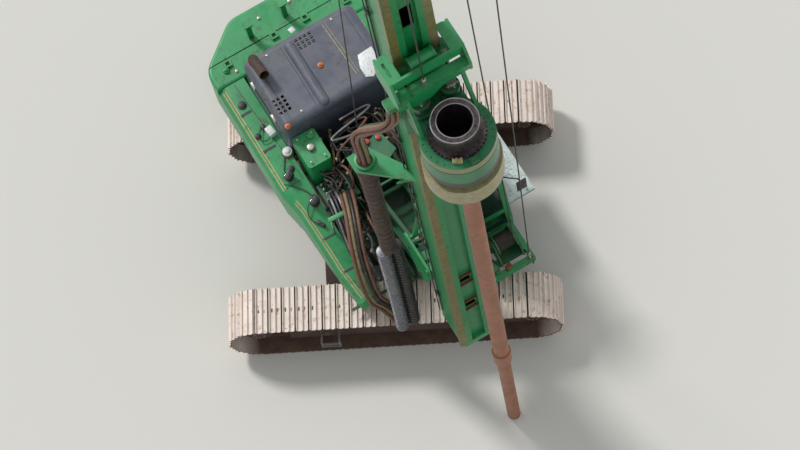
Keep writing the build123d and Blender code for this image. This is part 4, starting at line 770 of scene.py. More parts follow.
# %% Form the decks
# Where a deck changes: X, how far out its edge is, its top
RIGHT_STATIONS = [(-2.895, 1.56, 2.13), (-0.70, 1.56, 2.13), (-0.25, 1.475, 2.03), (0.90, 1.425, 1.72),
                  (1.50, 1.345, 1.56)]
LEFT_STATIONS = [(-2.895, 1.56, 2.13), (-0.43, 1.56, 2.13)]
DECK_INNER, DECK_LOW, DECK_CORNER = 1.056, 1.25, 0.20


def deck_form(side, stations):
    """A deck with a rounded outer edge, scaled to its width and height at each station."""
    sketch = bmesh.new()
    rear, outer, top = stations[0]
    right, left = sorted((side * DECK_INNER, side * outer))
    low, high = Vector((rear, right, DECK_LOW)), Vector((stations[-1][0], left, top))
    place = Matrix.Translation((low + high) / 2) @ Matrix.Diagonal((*(high - low), 1))
    bmesh.ops.create_cube(sketch, size=1.0, matrix=place)
    edge = [line for line in sketch.edges
            if all(abs(end.co.y) > outer - 0.001 and end.co.z > top - 0.001 for end in line.verts)]
    round_off(sketch, edge, DECK_CORNER, segments=10, clamped=False)
    for x, _, _ in stations[1:-1]:
        cut_at(sketch, x)
    for x, reach, height in stations[1:]:
        here = [corner for corner in sketch.verts if abs(corner.co.x - x) < 0.001]
        shares = (1, (reach - DECK_INNER) / (outer - DECK_INNER), (height - DECK_LOW) / (top - DECK_LOW))
        inner_foot = Matrix.Translation((0, -side * DECK_INNER, -DECK_LOW))
        bmesh.ops.scale(sketch, vec=shares, space=inner_foot, verts=here)
    bmesh.ops.recalc_face_normals(sketch, faces=sketch.faces)
    return sketch


decks = {}
for name, side, stations in (("right", -1, RIGHT_STATIONS), ("left", 1, LEFT_STATIONS)):
    form = piece(f"side_deck_{name}_dressed", deck_form(side, stations), green_enamel)
    form.data.set_sharp_from_angle(angle=math.radians(30))
    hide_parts(f"side_deck_{name}")
    decks[name] = surface(form.data)

# %% Dress the right deck
deck = decks["right"]
# Two olive lines along the right deck's rounded edge are painted highlights, standing in for its
# reflections
EDGE_HIGHLIGHT_ROUTE = [
    (-2.84, -1.49), (-2.0, -1.49), (-1.2, -1.49), (-0.72, -1.49), (-0.26, -1.405), (0.3, -1.38),
    (0.9, -1.355), (1.44, -1.285),
]
edge_highlights = bmesh.new()
for aside in (0.0, 0.045):
    ribbon(edge_highlights, deck, [(x, y + aside) for x, y in EDGE_HIGHLIGHT_ROUTE], 0.022)
piece("deck_edge_highlights", edge_highlights, olive_paint_and_highlight, smooth=False)

LONG_SEAM = [(-2.86, -1.26), (-2.2, -1.22), (-1.5, -1.16), (-0.72, -1.11)]
CROSS_SEAMS = [
    [(-2.30, -1.24), (-2.26, -1.44)], [(-1.52, -1.20), (-1.48, -1.44)], [(-0.72, -1.14), (-0.72, -1.44)],
    [(0.30, -1.10), (0.32, -1.34)], [(0.92, -1.10), (0.94, -1.32)],
]
seams = bmesh.new()
ribbon(seams, deck, LONG_SEAM, 0.012)
for (x0, y0), (x1, y1) in CROSS_SEAMS:
    z0, z1 = sorted((height_on(deck, x0, y0), height_on(deck, x1, y1)))
    block(seams, (min(x0, x1) - 0.006, y1, z0 - 0.001), (max(x0, x1) + 0.006, y0, z1 + 0.002), 0.0005)
piece("deck_seams", seams, black_hose, smooth=False)

FILLER_LIDS = [(-2.45, -1.33, 0.075), (-1.80, -1.38, 0.055), (-0.98, -1.20, 0.06)]
lids = bmesh.new()
for x, y, radius in FILLER_LIDS:
    disc(lids, spot_on(deck, x, y, -0.004), UP, radius, 0.030, 28, 0.006)
    disc(lids, spot_on(deck, x, y, 0.024), UP, radius * 0.75, 0.020, 8, 0.004)
piece("deck_filler_lids", lids, black_plastic)
whites = bmesh.new()
box_on(whites, spot_on(deck, -1.74, -1.16, -0.005), (0.18, 0.13, 0.12), 0.012, 8)
disc(whites, spot_on(deck, -1.27, -1.10, 0.02), UP, 0.085, 0.06, 28, 0.012)
disc(whites, spot_on(deck, -1.27, -1.10, 0.075), UP, 0.07, 0.04, 28, 0.018, top=0.035)
piece("deck_white_boxes", whites, white_plastic)
bases = bmesh.new()
disc(bases, spot_on(deck, -1.27, -1.10, -0.004), UP, 0.105, 0.028, 28, 0.004)
for x, y in ((-2.01, -1.16), (-2.05, -1.20), (-1.97, -1.12)):
    box_on(bases, spot_on(deck, x, y, -0.002), (0.10, 0.018, 0.006), 0.002, 6)
piece("deck_rusty_plates", bases, rusted_steel)
# Each box: its place, its length, width and height, and its turn in degrees
DECK_BOXES = [
    (-1.89, -1.22, (0.11, 0.08, 0.07), 8),
    (-0.34, -1.13, (0.12, 0.09, 0.08), -10),
    (0.08, -1.24, (0.16, 0.06, 0.07), 25),
]
boxes = bmesh.new()
for x, y, size, turn in DECK_BOXES:
    box_on(boxes, spot_on(deck, x, y, -0.02), size, 0.01, turn)
piece("deck_black_boxes", boxes, black_plastic)
# Each cable as (x, y, height above the deck)
CABLES = [
    [(-1.89, -1.25, 0.04), (-1.80, -1.36, 0.10), (-1.68, -1.40, 0.08), (-1.62, -1.30, 0.05),
     (-1.66, -1.18, 0.06), (-1.74, -1.16, 0.06)],
    [(-0.80, -1.43, 0.014), (-0.66, -1.30, 0.02), (-0.47, -1.14, 0.04), (-0.34, -1.13, 0.06)],
    [(-0.34, -1.16, 0.05), (-0.27, -1.28, 0.10), (-0.12, -1.37, 0.05), (0.04, -1.32, 0.04),
     (0.08, -1.24, 0.05)],
    [(-1.27, -1.16, 0.02), (-1.12, -1.24, 0.012), (-0.98, -1.34, 0.03), (-0.84, -1.30, 0.06)],
]
cables = bmesh.new()
for route in CABLES:
    tube(cables, [spot_on(deck, *place) for place in route], 0.009)
piece("deck_cables", cables, black_hose)
print("the decks are dressed")

# %% [markdown]
# ## Hood and counterweight
# The hood is one pressed cover with a central ridge. It carries two knobs, hinges, seams and a
# pale cover plate. The counterweight has bolts, lamps, a seam and a blank plate.

# %% Dress the hood
hood = surface(nodes["engine_hood"].data)
HOOD_SIDE = 1.046
knobs = bmesh.new()
for x, y in ((-1.96, 0.05), (-1.30, -0.95)):
    disc(knobs, spot_on(hood, x, y, -0.004), UP, 0.05, 0.03, 28, 0.006)
    disc(knobs, spot_on(hood, x, y, 0.024), UP, 0.033, 0.032, 28, 0.012, top=0.024)
piece("hood_knobs", knobs, orange_cap)
hood_seams = bmesh.new()
for y, width in ((0.44, 0.012), (0.49, 0.006)):
    ribbon(hood_seams, hood, [(-2.60, y), (-2.10, y + 0.02), (-1.50, y + 0.04)], width)
piece("hood_seams", hood_seams, olive_paint_and_highlight, smooth=False)
dark_lines = bmesh.new()
for y in (-0.85, -0.36, 0.86):
    ribbon(dark_lines, hood, [(-2.62, y), (-2.00, y + 0.01), (-1.38, y)], 0.009)
piece("hood_dark_lines", dark_lines, black_hose, smooth=False)
hinges = bmesh.new()
for x in (-2.35, -1.65):
    for side in (-1, 1):
        box_on(hinges, (x, side * HOOD_SIDE, 2.72), (0.14, 0.032, 0.08))
        disc(hinges, (x - 0.08, side * (HOOD_SIDE + 0.02), 2.76), FORWARD, 0.014, 0.16, 16)
for x, y in ((-2.60, -0.62), (-2.60, 0.62), (-1.40, -0.62), (-1.40, 0.70)):
    bolt(hinges, spot_on(hood, x, y), UP, 0.022)
piece("hood_hinges", hinges, zinc_steel)
COVER = [(-1.78, 0.66), (-1.80, 0.94), (-1.45, 0.90), (-1.30, 0.70), (-1.36, 0.58), (-1.56, 0.58)]
COVER_LOW, COVER_THICKNESS = 3.004, 0.012
cover = bmesh.new()
sheet = cover.faces.new([cover.verts.new((x, y, COVER_LOW)) for x, y in COVER])
bmesh.ops.recalc_face_normals(cover, faces=cover.faces)
grown = bmesh.ops.extrude_face_region(cover, geom=[sheet])["geom"]
raised = [item for item in grown if isinstance(item, bmesh.types.BMVert)]
bmesh.ops.translate(cover, vec=UP * COVER_THICKNESS, verts=raised)
bmesh.ops.recalc_face_normals(cover, faces=cover.faces)
soften(cover, cover.verts[:], 0.003)
piece("hood_cover_plate", cover, white_plastic)

# %% Dress the counterweight
weight = surface(nodes["counterweight"].data)
weight_bolts = bmesh.new()
for x, reach in ((-3.72, 0.55), (-3.05, 1.10)):
    for y in (-reach, -0.3, 0.3, reach):
        bolt(weight_bolts, spot_on(weight, x, y, -0.002), UP, 0.030)
piece("counterweight_bolts", weight_bolts, zinc_steel)
lamps = bmesh.new()
for y in (-0.55, 0.55):
    box_on(lamps, (-3.969, y, 1.62), (0.038, 0.18, 0.10), 0.008)
piece("rear_lamps", lamps, red_cap)
plate = bmesh.new()
box_on(plate, spot_on(weight, -3.22, 0.07, -0.002), (0.10, 0.10, 0.008), 0.002, 12)
piece("counterweight_blank_plate", plate, white_plastic)
round_lamp = bmesh.new()
disc(round_lamp, spot_on(weight, -3.15, -1.25, -0.004), UP, 0.055, 0.05, 28, 0.010)
disc(round_lamp, spot_on(weight, -3.15, -1.25, 0.045), UP, 0.042, 0.03, 28, 0.012, top=0.03)
piece("counterweight_round_lamp", round_lamp, green_enamel)
rear_seam = bmesh.new()
ribbon(rear_seam, weight, [(-3.34, y) for y in (-1.28, -0.60, -0.50)], 0.014)
piece("counterweight_seam", rear_seam, black_hose, smooth=False)
print("hood and counterweight are dressed")

# %% [markdown]
# ## Work lamps and beacon
# Work lamps are flat black housings with cooling fins and a silver face, each on a short post. Two
# stand on the right deck, and two on the cab's roof, where the beacon stands too.

# %% Mount the work lamps
cab_roof = surface(nodes["cab_shell"].data)
# Each lamp: its place, its turn in degrees and the surface that it stands on
LAMPS = [
    (-0.84, -1.30, 205, deck), (-0.25, -1.15, 200, deck),
    (1.12, 0.78, 0, cab_roof), (1.12, 1.43, 0, cab_roof),
]
housings, faces = bmesh.new(), bmesh.new()
for x, y, turn, ground in LAMPS:
    foot = spot_on(ground, x, y)
    way = Matrix.Rotation(math.radians(turn), 3, "Z") @ FORWARD
    box_on(housings, foot - UP * 0.004, (0.10, 0.08, 0.012), 0.003, turn)
    box_on(housings, foot, (0.024, 0.024, 0.07), 0.003, turn)
    box_on(housings, foot + UP * 0.06, (0.09, 0.17, 0.13), 0.016, turn)
    for fin in range(5):
        fin_foot = foot - way * 0.047 + UP * (0.071 + fin * 0.025)
        box_on(housings, fin_foot, (0.024, 0.14, 0.008), 0.001, turn)
    box_on(faces, foot + way * 0.044 + UP * 0.075, (0.008, 0.14, 0.10), 0.003, turn)
piece("work_lamp_housings", housings, black_plastic)
piece("work_lamp_faces", faces, chrome)
beacon = bmesh.new()
disc(beacon, spot_on(cab_roof, -0.12, 1.42), UP, 0.055, 0.10, 28, 0.014, top=0.045)
piece("beacon", beacon, amber_lens)

# %% [markdown]
# ## Winches, valves and the engine bay
# Rope lies on a drum in turns side by side. Behind the boom the bay is open: pumps, valves and
# dozens of hoses of every age, from black and silver to dusty brown.

# %% Wind the ropes
TURN_STEPS = 20


def winding(name, x, z, radius, low, high, body):
    """Turns of rope side by side on a drum that lies along Y."""
    pitch = ROPE_RADIUS * 2.1
    coil = []
    for step in range(int((high - low) / pitch) * TURN_STEPS + 1):
        turn = step * math.tau / TURN_STEPS
        along = low + pitch * (0.5 + step / TURN_STEPS)
        coil.append((x + radius * math.sin(turn), along, z + radius * math.cos(turn)))
    turns = bmesh.new()
    tube(turns, coil, ROPE_RADIUS, straight=True, roundness=1)
    piece(name, turns, rope_steel, body)


winding("main_winch_winding", -0.70, 2.08, 0.2035, -0.262, 0.262, "main_winch")
winding("aux_winch_winding", 1.86, 1.72, 0.1425, 1.04, 1.36, "aux_winch")

# %% Dress the valve block and tank box
VALVE_TOP, VALVE_PORTS = 2.005, 1.84
TANK_TOP = 2.639
valves = bmesh.new()
for row in range(4):
    for column in range(5):
        spot = Vector((-0.50 + column * 0.095, -0.90 + row * 0.125, VALVE_TOP))
        disc(valves, spot, UP, 0.024, 0.035, 6)
        disc(valves, spot + UP * 0.033, UP, 0.016, 0.03, 16)
for column in range(6):
    for x, way in ((-0.565, -FORWARD), (-0.055, FORWARD)):
        disc(valves, (x, -0.92 + column * 0.095, VALVE_PORTS), way, 0.03, 0.05, 16, 0.004)
piece("valve_fittings", valves, zinc_steel)
tank = bmesh.new()
for x in (-1.16, -0.68):
    for y in (-0.90, -0.64):
        bolt(tank, (x, y, TANK_TOP), UP, 0.016)
disc(tank, (-0.92, -0.78, TANK_TOP - 0.003), UP, 0.06, 0.03, 28, 0.006)
piece("tank_box_bolts", tank, zinc_steel)
caps = bmesh.new()
service = surface(nodes["service_frame"].data)
for x, y in ((-0.36, -0.12), (-0.30, 0.20)):
    disc(caps, nearest(service, x, y, 3.3), UP, 0.045, 0.05, 24, 0.008)
piece("service_red_caps", caps, red_cap)

# %% Fill the bay with hoses
BAY_COVERS = [black_hose, silver_sleeve, brown_hose, khaki_hose]
# Each hose: its cover in that list, its radius in millimetres, and its route in centimetres
BAY_HOSES = [
    (1, 26, [(-30, -90, 205), (-20, -90, 222), (10, -94, 228), (50, -102, 220), (86, -108, 202),
             (102, -106, 174), (104, -100, 146)]),
    (0, 24, [(-30, -84, 205), (-18, -84, 225), (12, -88, 232), (54, -96, 224), (92, -103, 205),
             (109, -101, 176), (111, -96, 146)]),
    (1, 26, [(-30, -78, 205), (-16, -78, 228), (16, -82, 235), (58, -90, 227), (97, -97, 207),
             (115, -96, 178), (117, -92, 146)]),
    (0, 22, [(-22, -92, 205), (-5, -98, 216), (24, -101, 218), (55, -106, 210), (80, -109, 190),
             (90, -105, 166), (92, -100, 146)]),
    (1, 24, [(-22, -72, 205), (-6, -72, 222), (22, -74, 226), (62, -82, 220), (98, -88, 202),
             (120, -88, 176), (124, -86, 146)]),
    (0, 26, [(-14, -90, 205), (2, -90, 212), (30, -94, 210), (60, -100, 198), (78, -102, 176),
             (82, -98, 146)]),
    (2, 22, [(-62, -50, 202), (-60, -52, 220), (-48, -46, 236), (-30, -42, 242), (-12, -44, 230),
             (-10, -50, 206)]),
    (0, 20, [(-120, -50, 210), (-110, -44, 234), (-90, -40, 246), (-64, -42, 244), (-46, -50, 230),
             (-44, -56, 205)]),
    (3, 22, [(-125, -30, 210), (-112, -34, 236), (-94, -42, 240), (-72, -48, 234), (-54, -62, 220),
             (-50, -66, 205)]),
    (0, 18, [(-130, 10, 212), (-118, 20, 242), (-98, 42, 248), (-66, 46, 240), (-30, 44, 230),
             (-10, 42, 200), (-6, 42, 172)]),
    (2, 20, [(-130, 30, 212), (-116, 36, 230), (-92, 46, 232), (-60, 50, 226), (-22, 52, 214),
             (4, 50, 190), (10, 48, 160)]),
    (1, 18, [(-120, 60, 200), (-104, 62, 224), (-74, 58, 226), (-40, 60, 216), (-12, 62, 194),
             (0, 60, 162)]),
    (0, 20, [(36, -44, 166), (40, -44, 200), (52, -46, 236), (74, -48, 244), (98, -50, 226),
             (116, -50, 194), (120, -48, 158)]),
    (2, 22, [(30, -50, 166), (36, -52, 210), (54, -56, 238), (82, -58, 234), (102, -58, 210),
             (110, -56, 162)]),
    (3, 18, [(22, -58, 166), (30, -62, 198), (50, -66, 216), (78, -68, 210), (94, -66, 186),
             (98, -64, 150)]),
    (0, 18, [(30, 44, 166), (38, 46, 202), (60, 48, 228), (88, 50, 220), (108, 48, 190), (112, 46, 156)]),
    (0, 14, [(-10, -70, 206), (6, -62, 230), (26, -52, 252), (36, -46, 240), (40, -44, 210)]),
    (2, 14, [(-42, -40, 205), (-34, -38, 250), (-24, -37, 284), (-6, -38, 294), (16, -40, 280),
             (26, -44, 240), (30, -46, 190)]),
]
hoses = [(cover, radius, [Vector(place) / 100 for place in route]) for cover, radius, route in BAY_HOSES]
# Where more hoses run at random: their covers, their count, and the ranges of X, Y and Z in metres
random.seed(7)
BAY_ROOMS = [
    ((0, 0, 2, 1), 26, (-1.15, 1.20), (-0.92, -0.46), (1.72, 2.42)),
    ((0, 0, 2, 3), 12, (-1.20, -0.05), (0.40, 0.60), (1.75, 2.40)),
    ((0, 0, 1, 2), 10, (-1.22, -0.45), (-0.50, 0.50), (2.40, 2.62)),
]
for covers, count, xs, ys, zs in BAY_ROOMS:
    for number in range(count):
        start, end = sorted((random.uniform(*xs), random.uniform(*xs)))
        end = max(end, start + 0.4)
        low, high = sorted((random.uniform(*zs), random.uniform(*zs)))
        route = [(start, random.uniform(*ys), low - 0.12)]
        for part in (0.1, 0.35, 0.65, 0.9):
            lift = math.sin(part * math.pi) * (high - low)
            route.append((start + (end - start) * part, random.uniform(*ys), low + lift))
        route.append((end, random.uniform(*ys), low - 0.14))
        hoses.append((random.choice(covers), random.uniform(11, 22), route))
bay, ends = bmesh.new(), bmesh.new()
for cover, radius, route in hoses:
    tube(bay, route, radius / 1000, slot=cover)
    for end, towards in ((route[0], route[1]), (route[-1], route[-2])):
        disc(ends, end, Vector(towards) - Vector(end), radius / 1000 + 0.007, 0.07, 16, 0.004)
piece("bay_hoses", bay, BAY_COVERS)
for y in (-1.12, -0.66):
    rod_between(ends, (0.30, y, 1.62), (0.32, y, 2.46), 0.018, 14)
piece("bay_hose_ends", ends, zinc_steel)
bar = bmesh.new()
block(bar, (0.28, -1.16, 2.44), (0.36, -0.62, 2.475), turn=-3)
block(bar, (0.62, -1.10, 1.58), (0.68, -0.62, 1.61))
piece("hose_bars", bar, green_enamel)
print("bay hoses:", len(hoses))

# %% Lay things on the lower arm
arm = surface(nodes["lower_arm"].data)
slats = bmesh.new()
for x, y in ((1.22, -0.10), (1.30, 0.05)):
    box_on(slats, nearest(arm, x, y, 2.6), (0.34, 0.09, 0.03), 0.005, -18)
piece("arm_slats", slats, pale_slat, "boom_arm")
clips = bmesh.new()
for x in (0.75, 1.05, 1.50):
    box_on(clips, nearest(arm, x, 0.22, 2.6), (0.06, 0.18, 0.045))
piece("arm_clips", clips, black_plastic, "boom_arm")
arm_hoses = bmesh.new()
for number, across in enumerate((0.15, 0.20, 0.25)):
    route = [nearest(arm, x, across, 2.7) + UP * 0.02 for x in (0.62, 0.80, 1.05, 1.30, 1.55, 1.75)]
    tube(arm_hoses, route, 0.014, slot=number % 2)
piece("arm_hoses", arm_hoses, [black_hose, brown_hose], "boom_arm")

# %% [markdown]
# ## The cab and the walkway
# The cab has tinted safety glass, mirrors on bent arms, a wiper and a grab bar. Its walkway is
# plate with a raised grip pattern, and ends in a handle.

# %% Glaze the cab
PANES = [
    ((0.52, 0.75, 3.048), (1.08, 1.46, 3.056)), ((0.06, 0.658, 2.02), (1.15, 0.668, 2.95)),
    ((-0.15, 1.540, 2.02), (0.23, 1.550, 2.95)), ((-0.232, 0.75, 2.02), (-0.222, 1.46, 2.95)),
]
panes = bmesh.new()
for low, high in PANES:
    block(panes, low, high, 0.002)
piece("cab_panes", panes, glass_pane, smooth=False)
door_glass = bmesh.new()
block(door_glass, (0.42, 1.545, 2.02), (1.14, 1.553, 2.87), 0.002)
piece("door_pane", door_glass, glass_pane, "cab_door", smooth=False)
SCREEN_SLOPE = math.degrees(math.atan2(1.52 - 1.33, 3.08 - 1.65))
screen = bmesh.new()
block(screen, (1.400, 0.75, 1.98), (1.410, 1.46, 2.96), 0.002, lean=-SCREEN_SLOPE)
block(screen, (1.492, 0.75, 1.42), (1.502, 1.46, 1.62), 0.002)
piece("cab_screen", screen, glass_pane, smooth=False)

# %% Fit out the cab
trim = bmesh.new()
rod_between(trim, (1.45, 1.10, 2.02), (1.385, 1.00, 2.62), 0.008)
block(trim, (1.36, 0.985, 2.55), (1.375, 1.015, 2.85), 0.002, lean=-SCREEN_SLOPE)
MIRROR_ARM = [(1.34, 0.0, 2.84), (1.46, 0.10, 2.90), (1.52, 0.20, 2.88), (1.52, 0.22, 2.70)]
for y, side in ((0.62, -1), (1.60, 1)):
    tube(trim, [(x, y + side * out, z) for x, out, z in MIRROR_ARM], 0.012)
    box_on(trim, (1.5225, y + side * 0.22, 2.46), (0.035, 0.18, 0.32), 0.012)
tube(trim, [(0.24, 1.62, 1.55), (0.24, 1.68, 1.60), (0.24, 1.68, 2.60), (0.24, 1.62, 2.66)], 0.014)
piece("cab_mirrors_and_wiper", trim, black_plastic)
RAIL = [(-0.15, 3.07), (-0.15, 3.115), (0.42, 3.115), (0.42, 3.07)]
roof = bmesh.new()
for y in (0.70, 1.51):
    tube(roof, [(x, y, z) for x, z in RAIL], 0.010, straight=True)
    box_on(roof, (0.80, y, 3.078), (0.60, 0.012, 0.017), 0.003)
piece("cab_roof_rails", roof, dark_enamel)
hatch = bmesh.new()
block(hatch, (-0.14, 0.80, 3.074), (0.40, 1.40, 3.098), 0.010)
block(hatch, (0.05, 1.02, 3.09), (0.20, 1.18, 3.125), 0.008)
piece("cab_roof_box", hatch, hood_enamel)
levers = bmesh.new()
for y in (0.84, 1.38):
    disc(levers, (0.64, y, 1.83), (0.15, 0, 1), 0.012, 0.16, 14)
    disc(levers, (0.664, y, 1.98), (0.15, 0, 1), 0.024, 0.06, 16, 0.012)
    box_on(levers, (0.50, y, 1.74), (0.44, 0.10, 0.09), 0.015)
for y in (1.03, 1.21):
    box_on(levers, (1.26, y, 1.35), (0.08, 0.10, 0.15), 0.01)
box_on(levers, (1.21, 0.76, 1.80), (0.06, 0.08, 0.25), 0.01)
piece("cab_levers", levers, black_plastic)

# %% Dress the walkway and the platform
WALKWAY_TOP = 1.378
PLATFORM_TOP = 1.395
HANDLE = [(1.02, 2.06, 1.375), (1.02, 2.06, 1.43), (1.16, 2.06, 1.43), (1.16, 2.06, 1.375)]
grip = bmesh.new()
for column in range(22):
    for row in range(8):
        spot = (-0.33 + column * 0.068, 1.64 + row * 0.064, WALKWAY_TOP)
        box_on(grip, spot, (0.036, 0.010, 0.008), 0.002, 45 if (row + column) % 2 else -45)
tube(grip, HANDLE, 0.010, straight=True)
piece("walkway_grip", grip, step_plate)
platform = bmesh.new()
box_on(platform, (2.07, 0.84, PLATFORM_TOP), (0.26, 0.16, 0.165), 0.04, 8)
piece("platform_tool_box", platform, dark_enamel)
chain = bmesh.new()
box_on(chain, (2.205, 1.075, PLATFORM_TOP), (0.09, 0.11, 0.095), 0.012, 14)
for link in range(7):
    across = Matrix.Rotation(math.pi / 2 * (link % 2), 3, "Z") @ FORWARD * 0.014
    tube(chain, arc_line((2.262, 1.50, 1.43 - link * 0.045), across, UP * 0.03, 12), 0.006, straight=True)
piece("platform_chain", chain, rusted_steel)
ring = bmesh.new()
tube(ring, arc_line((2.23, 1.46, 1.46), FORWARD * 0.045, UP * 0.045, 16), 0.011, straight=True)
disc(ring, (2.23, 1.46, 1.50), UP, 0.024, 0.09, 20, 0.006)
block(ring, (2.20, 1.445, 1.385), (2.26, 1.475, 1.44))
piece("rope_ring", ring, zinc_steel)
print("cab, walkway and platform are dressed")

# %% [markdown]
# ## The mast and its head
# The mast is welded from plate. Its front edges are slides for the carriage and stay greasy. The
# sections are bolted flange to flange, and the jib's sheave hangs in two plates under the jib.

# %% Dress the mast
MAST_SIDE = 0.352
HEAD_SIDE = 0.311
HEAD_AXLES = [(2.45, 20.35), (3.25, 20.35)]
mast_bolts = bmesh.new()
for y in (-0.28, -0.14, 0.0, 0.14, 0.28):
    bolt(mast_bolts, (2.42, y, 10.86), -FORWARD, 0.020)
for side in (-1, 1):
    for z in (10.82, 10.98):
        for x in (2.55, 2.72, 2.89):
            bolt(mast_bolts, (x, side * MAST_SIDE, z), (0, side, 0), 0.020)
    for x, z in HEAD_AXLES:
        for place in arc_line((x, side * HEAD_SIDE, z), FORWARD * 0.09, UP * 0.09, 6)[:-1]:
            bolt(mast_bolts, place, (0, side, 0), 0.016)
piece("mast_bolts", mast_bolts, zinc_steel, "mast")
sills = bmesh.new()
for z in (3.0, 4.05):
    for rise in (-0.022, 0.302):
        box_on(sills, (3.0525, 0, z + rise), (0.045, 0.23, 0.02), 0.003)
piece("window_sills", sills, rusted_steel, "mast")
# Each line on the mast: X, Y, its lower and upper end, and its radius
MAST_LINES = [
    (2.52, -0.3597, 2.2, 19.4, 0.010),
    (2.55, -0.327, 2.2, 19.2, 0.013),
    (2.58, 0.3597, 2.6, 19.0, 0.016),
]
lines = bmesh.new()
for x, y, low, high, radius in MAST_LINES:
    tube(lines, [(x, y, low), (x, y, high)], radius, straight=True)
for z in range(3, 20, 2):
    for y in (-0.345, 0.345):
        box_on(lines, (2.56, y, z - 0.02), (0.12, 0.044, 0.04), 0.004)
piece("mast_lines", lines, black_hose, "mast")

# %% Hang the jib's sheave
# Half of the sheave's section, as (along its axle, out from it)
SHEAVE_SECTION = [
    (-0.04, 0.05), (-0.04, 0.33), (-0.025, 0.33), (-0.012, 0.285), (0.012, 0.285), (0.025, 0.33),
    (0.04, 0.33), (0.04, 0.05),
]
jib = bmesh.new()
corners = [jib.verts.new((radius, along, 0)) for along, radius in SHEAVE_SECTION]
lathe(jib, corners, zip(corners, corners[1:] + corners[:1]), (0, 1, 0), 40)
turned = Matrix.Translation(JIB_CENTRE) @ Matrix.Rotation(math.radians(JIB_TURN), 4, "Z")
bmesh.ops.transform(jib, matrix=turned, verts=jib.verts)
piece("jib_sheave", jib, spindle_steel, "mast")
hanger = bmesh.new()
across = turned.to_3x3() @ Vector((0, 1, 0))
for way in (-across, across):
    spot = JIB_CENTRE + way * 0.062
    box_on(hanger, spot - UP * 0.09, (0.15, 0.024, 0.55), 0.004, JIB_TURN)
    disc(hanger, spot, way, 0.05, 0.03, 24, 0.004)
disc(hanger, JIB_CENTRE - across * 0.06, across, 0.045, 0.12)
piece("jib_hanger", hanger, green_enamel, "mast")
print("the mast is dressed")

# %% [markdown]
# ## Carriage and rotary drive
# The drive is bolted together in rings. Its housing has a row of bolts round the top, a bright rim
# round the spindle's bore, and motors with hoses and drain plugs.

# %% Dress the drive
DRIVE_MIDDLE = (3.994, 0.0)
# The motor's hose on the left side
MOTOR_ROUTE = [(3.40, 0.25, 11.86), (3.38, 0.27, 11.98), (3.26, 0.32, 12.02), (3.15, 0.36, 11.88),
               (3.12, 0.38, 11.60), (3.12, 0.38, 11.36)]
drive_bolts = bmesh.new()
drive_top = surface(nodes["drive_housing"].data)
for x, y, _ in ring_of((*DRIVE_MIDDLE, 0), 0.48, 28):
    bolt(drive_bolts, nearest(drive_top, x, y, 12.5), UP, 0.011)
piece("drive_bolts", drive_bolts, dark_enamel, "feed_carriage")
rim = bmesh.new()
rim_centre = (*DRIVE_MIDDLE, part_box("drive_spindle")[1].z - 0.004)
for radius, wire in ((0.322, 0.010), (0.247, 0.007)):
    tube(rim, arc_line(rim_centre, FORWARD * radius, Vector((0, radius, 0)), 48), wire, straight=True)
piece("spindle_rim", rim, bare_steel, "drill_string")
grease_box = bmesh.new()
box_on(grease_box, (4.33, -0.19, 11.495), (0.12, 0.14, 0.065), 0.012, -28)
piece("drive_grease_box", grease_box, olive_paint_and_highlight, "feed_carriage")
motor_parts, motor_hoses = bmesh.new(), bmesh.new()
for side in (-1, 1):
    disc(motor_parts, (3.47, side * 0.25, 11.835), UP, 0.07, 0.03, 24, 0.005)
    for place in ring_of((3.47, side * 0.25, 11.85), 0.085, 6):
        bolt(motor_parts, place, UP, 0.012)
    tube(motor_hoses, [(x, side * y, z) for x, y, z in MOTOR_ROUTE], 0.020)
piece("motor_caps", motor_parts, zinc_steel, "feed_carriage")
piece("motor_hoses", motor_hoses, black_hose, "feed_carriage")
print("the drive is dressed")

# %% [markdown]
# ## Undercarriage
# Each wheel's hub has a round cover, bolted on all round.

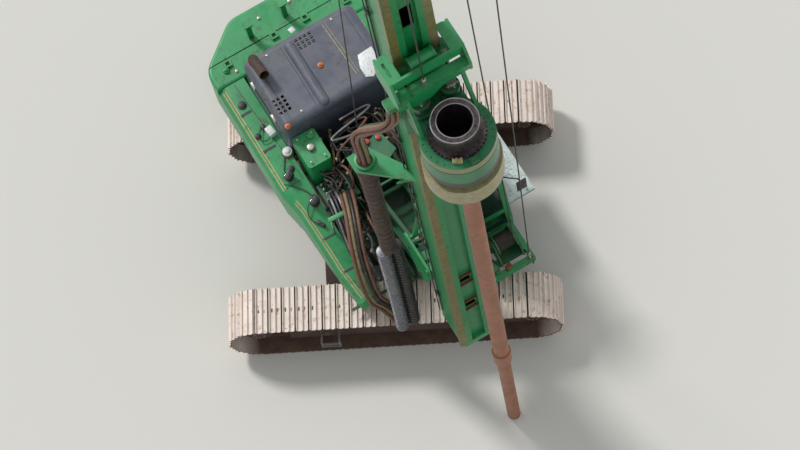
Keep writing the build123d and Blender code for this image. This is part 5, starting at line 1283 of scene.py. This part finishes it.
# %% Bolt the hubs
hub_bolts, hub_covers = bmesh.new(), bmesh.new()
for node in ("sprocket_left", "sprocket_right", "idler_left", "idler_right"):
    low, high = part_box(node)
    hub = surface(nodes[node].data)
    for way in (-AXLE_WAY, AXLE_WAY):
        face = hub.ray_cast((low + high) / 2 + way, -way)[0]
        if face is None:
            continue
        disc(hub_covers, face - way * 0.004, way, 0.12, 0.025, 28, 0.006)
        for place in arc_line(face + way * 0.02, TRACK_WAY * 0.095, UP * 0.095, 8)[:-1]:
            bolt(hub_bolts, place, way, 0.010)
piece("hub_covers", hub_covers, frame_steel, "undercarriage")
piece("hub_bolts", hub_bolts, zinc_steel, "undercarriage")
print("hubs are bolted")

# %% [markdown]
# ## Light and floor
# A plain pale floor and a soft sun from behind the engine room, as in the photograph, with an
# even sky that fills the shadows. The lamp and the sky together light a level surface at about
# the brightness at which its colour is written.

# %% Set the light
sky = bpy.data.worlds.new("sky")
bpy.context.scene.world = sky
sky.use_nodes = True
sky_tree = sky.node_tree
sky_tree.nodes["Background"].inputs["Color"].default_value = (0.92, 0.96, 1.0, 1.0)
sky_tree.nodes["Background"].inputs["Strength"].default_value = 0.55
pale = add(sky_tree, "ShaderNodeBackground", {"Color": (1, 1, 1, 1), "Strength": 1.0})
rays = add(sky_tree, "ShaderNodeLightPath", {})
seen = maths(sky_tree, "MAXIMUM", rays.outputs["Is Camera Ray"], rays.outputs["Is Glossy Ray"])
seen = maths(sky_tree, "MAXIMUM", seen, rays.outputs["Is Transmission Ray"])
both = add(sky_tree, "ShaderNodeMixShader", {},
           {0: seen, 1: sky_tree.nodes["Background"].outputs[0], 2: pale.outputs[0]})
sky_tree.links.new(both.outputs[0], sky_tree.nodes["World Output"].inputs["Surface"])

sun_data = bpy.data.lights.new("sun", "SUN")
sun_data.energy = 2.0
sun_data.angle = math.radians(12)
sun = bpy.data.objects.new("sun", sun_data)
sun.rotation_euler = Vector((-0.66, -0.20, 0.72)).to_track_quat("Z", "Y").to_euler()
bpy.context.scene.collection.objects.link(sun)

floor_mesh = bpy.data.meshes.new("floor")
sketch = bmesh.new()
bmesh.ops.create_grid(sketch, x_segments=1, y_segments=1, size=80)
sketch.to_mesh(floor_mesh)
sketch.free()
floor = bpy.data.objects.new("floor", floor_mesh)
bpy.context.scene.collection.objects.link(floor)
floor_paint, _, floor_shader = finish("pale_floor", 0.0, 0.9)
floor_shader.inputs["Base Color"].default_value = colour("#DAD7CF")
floor_mesh.materials.append(floor_paint)
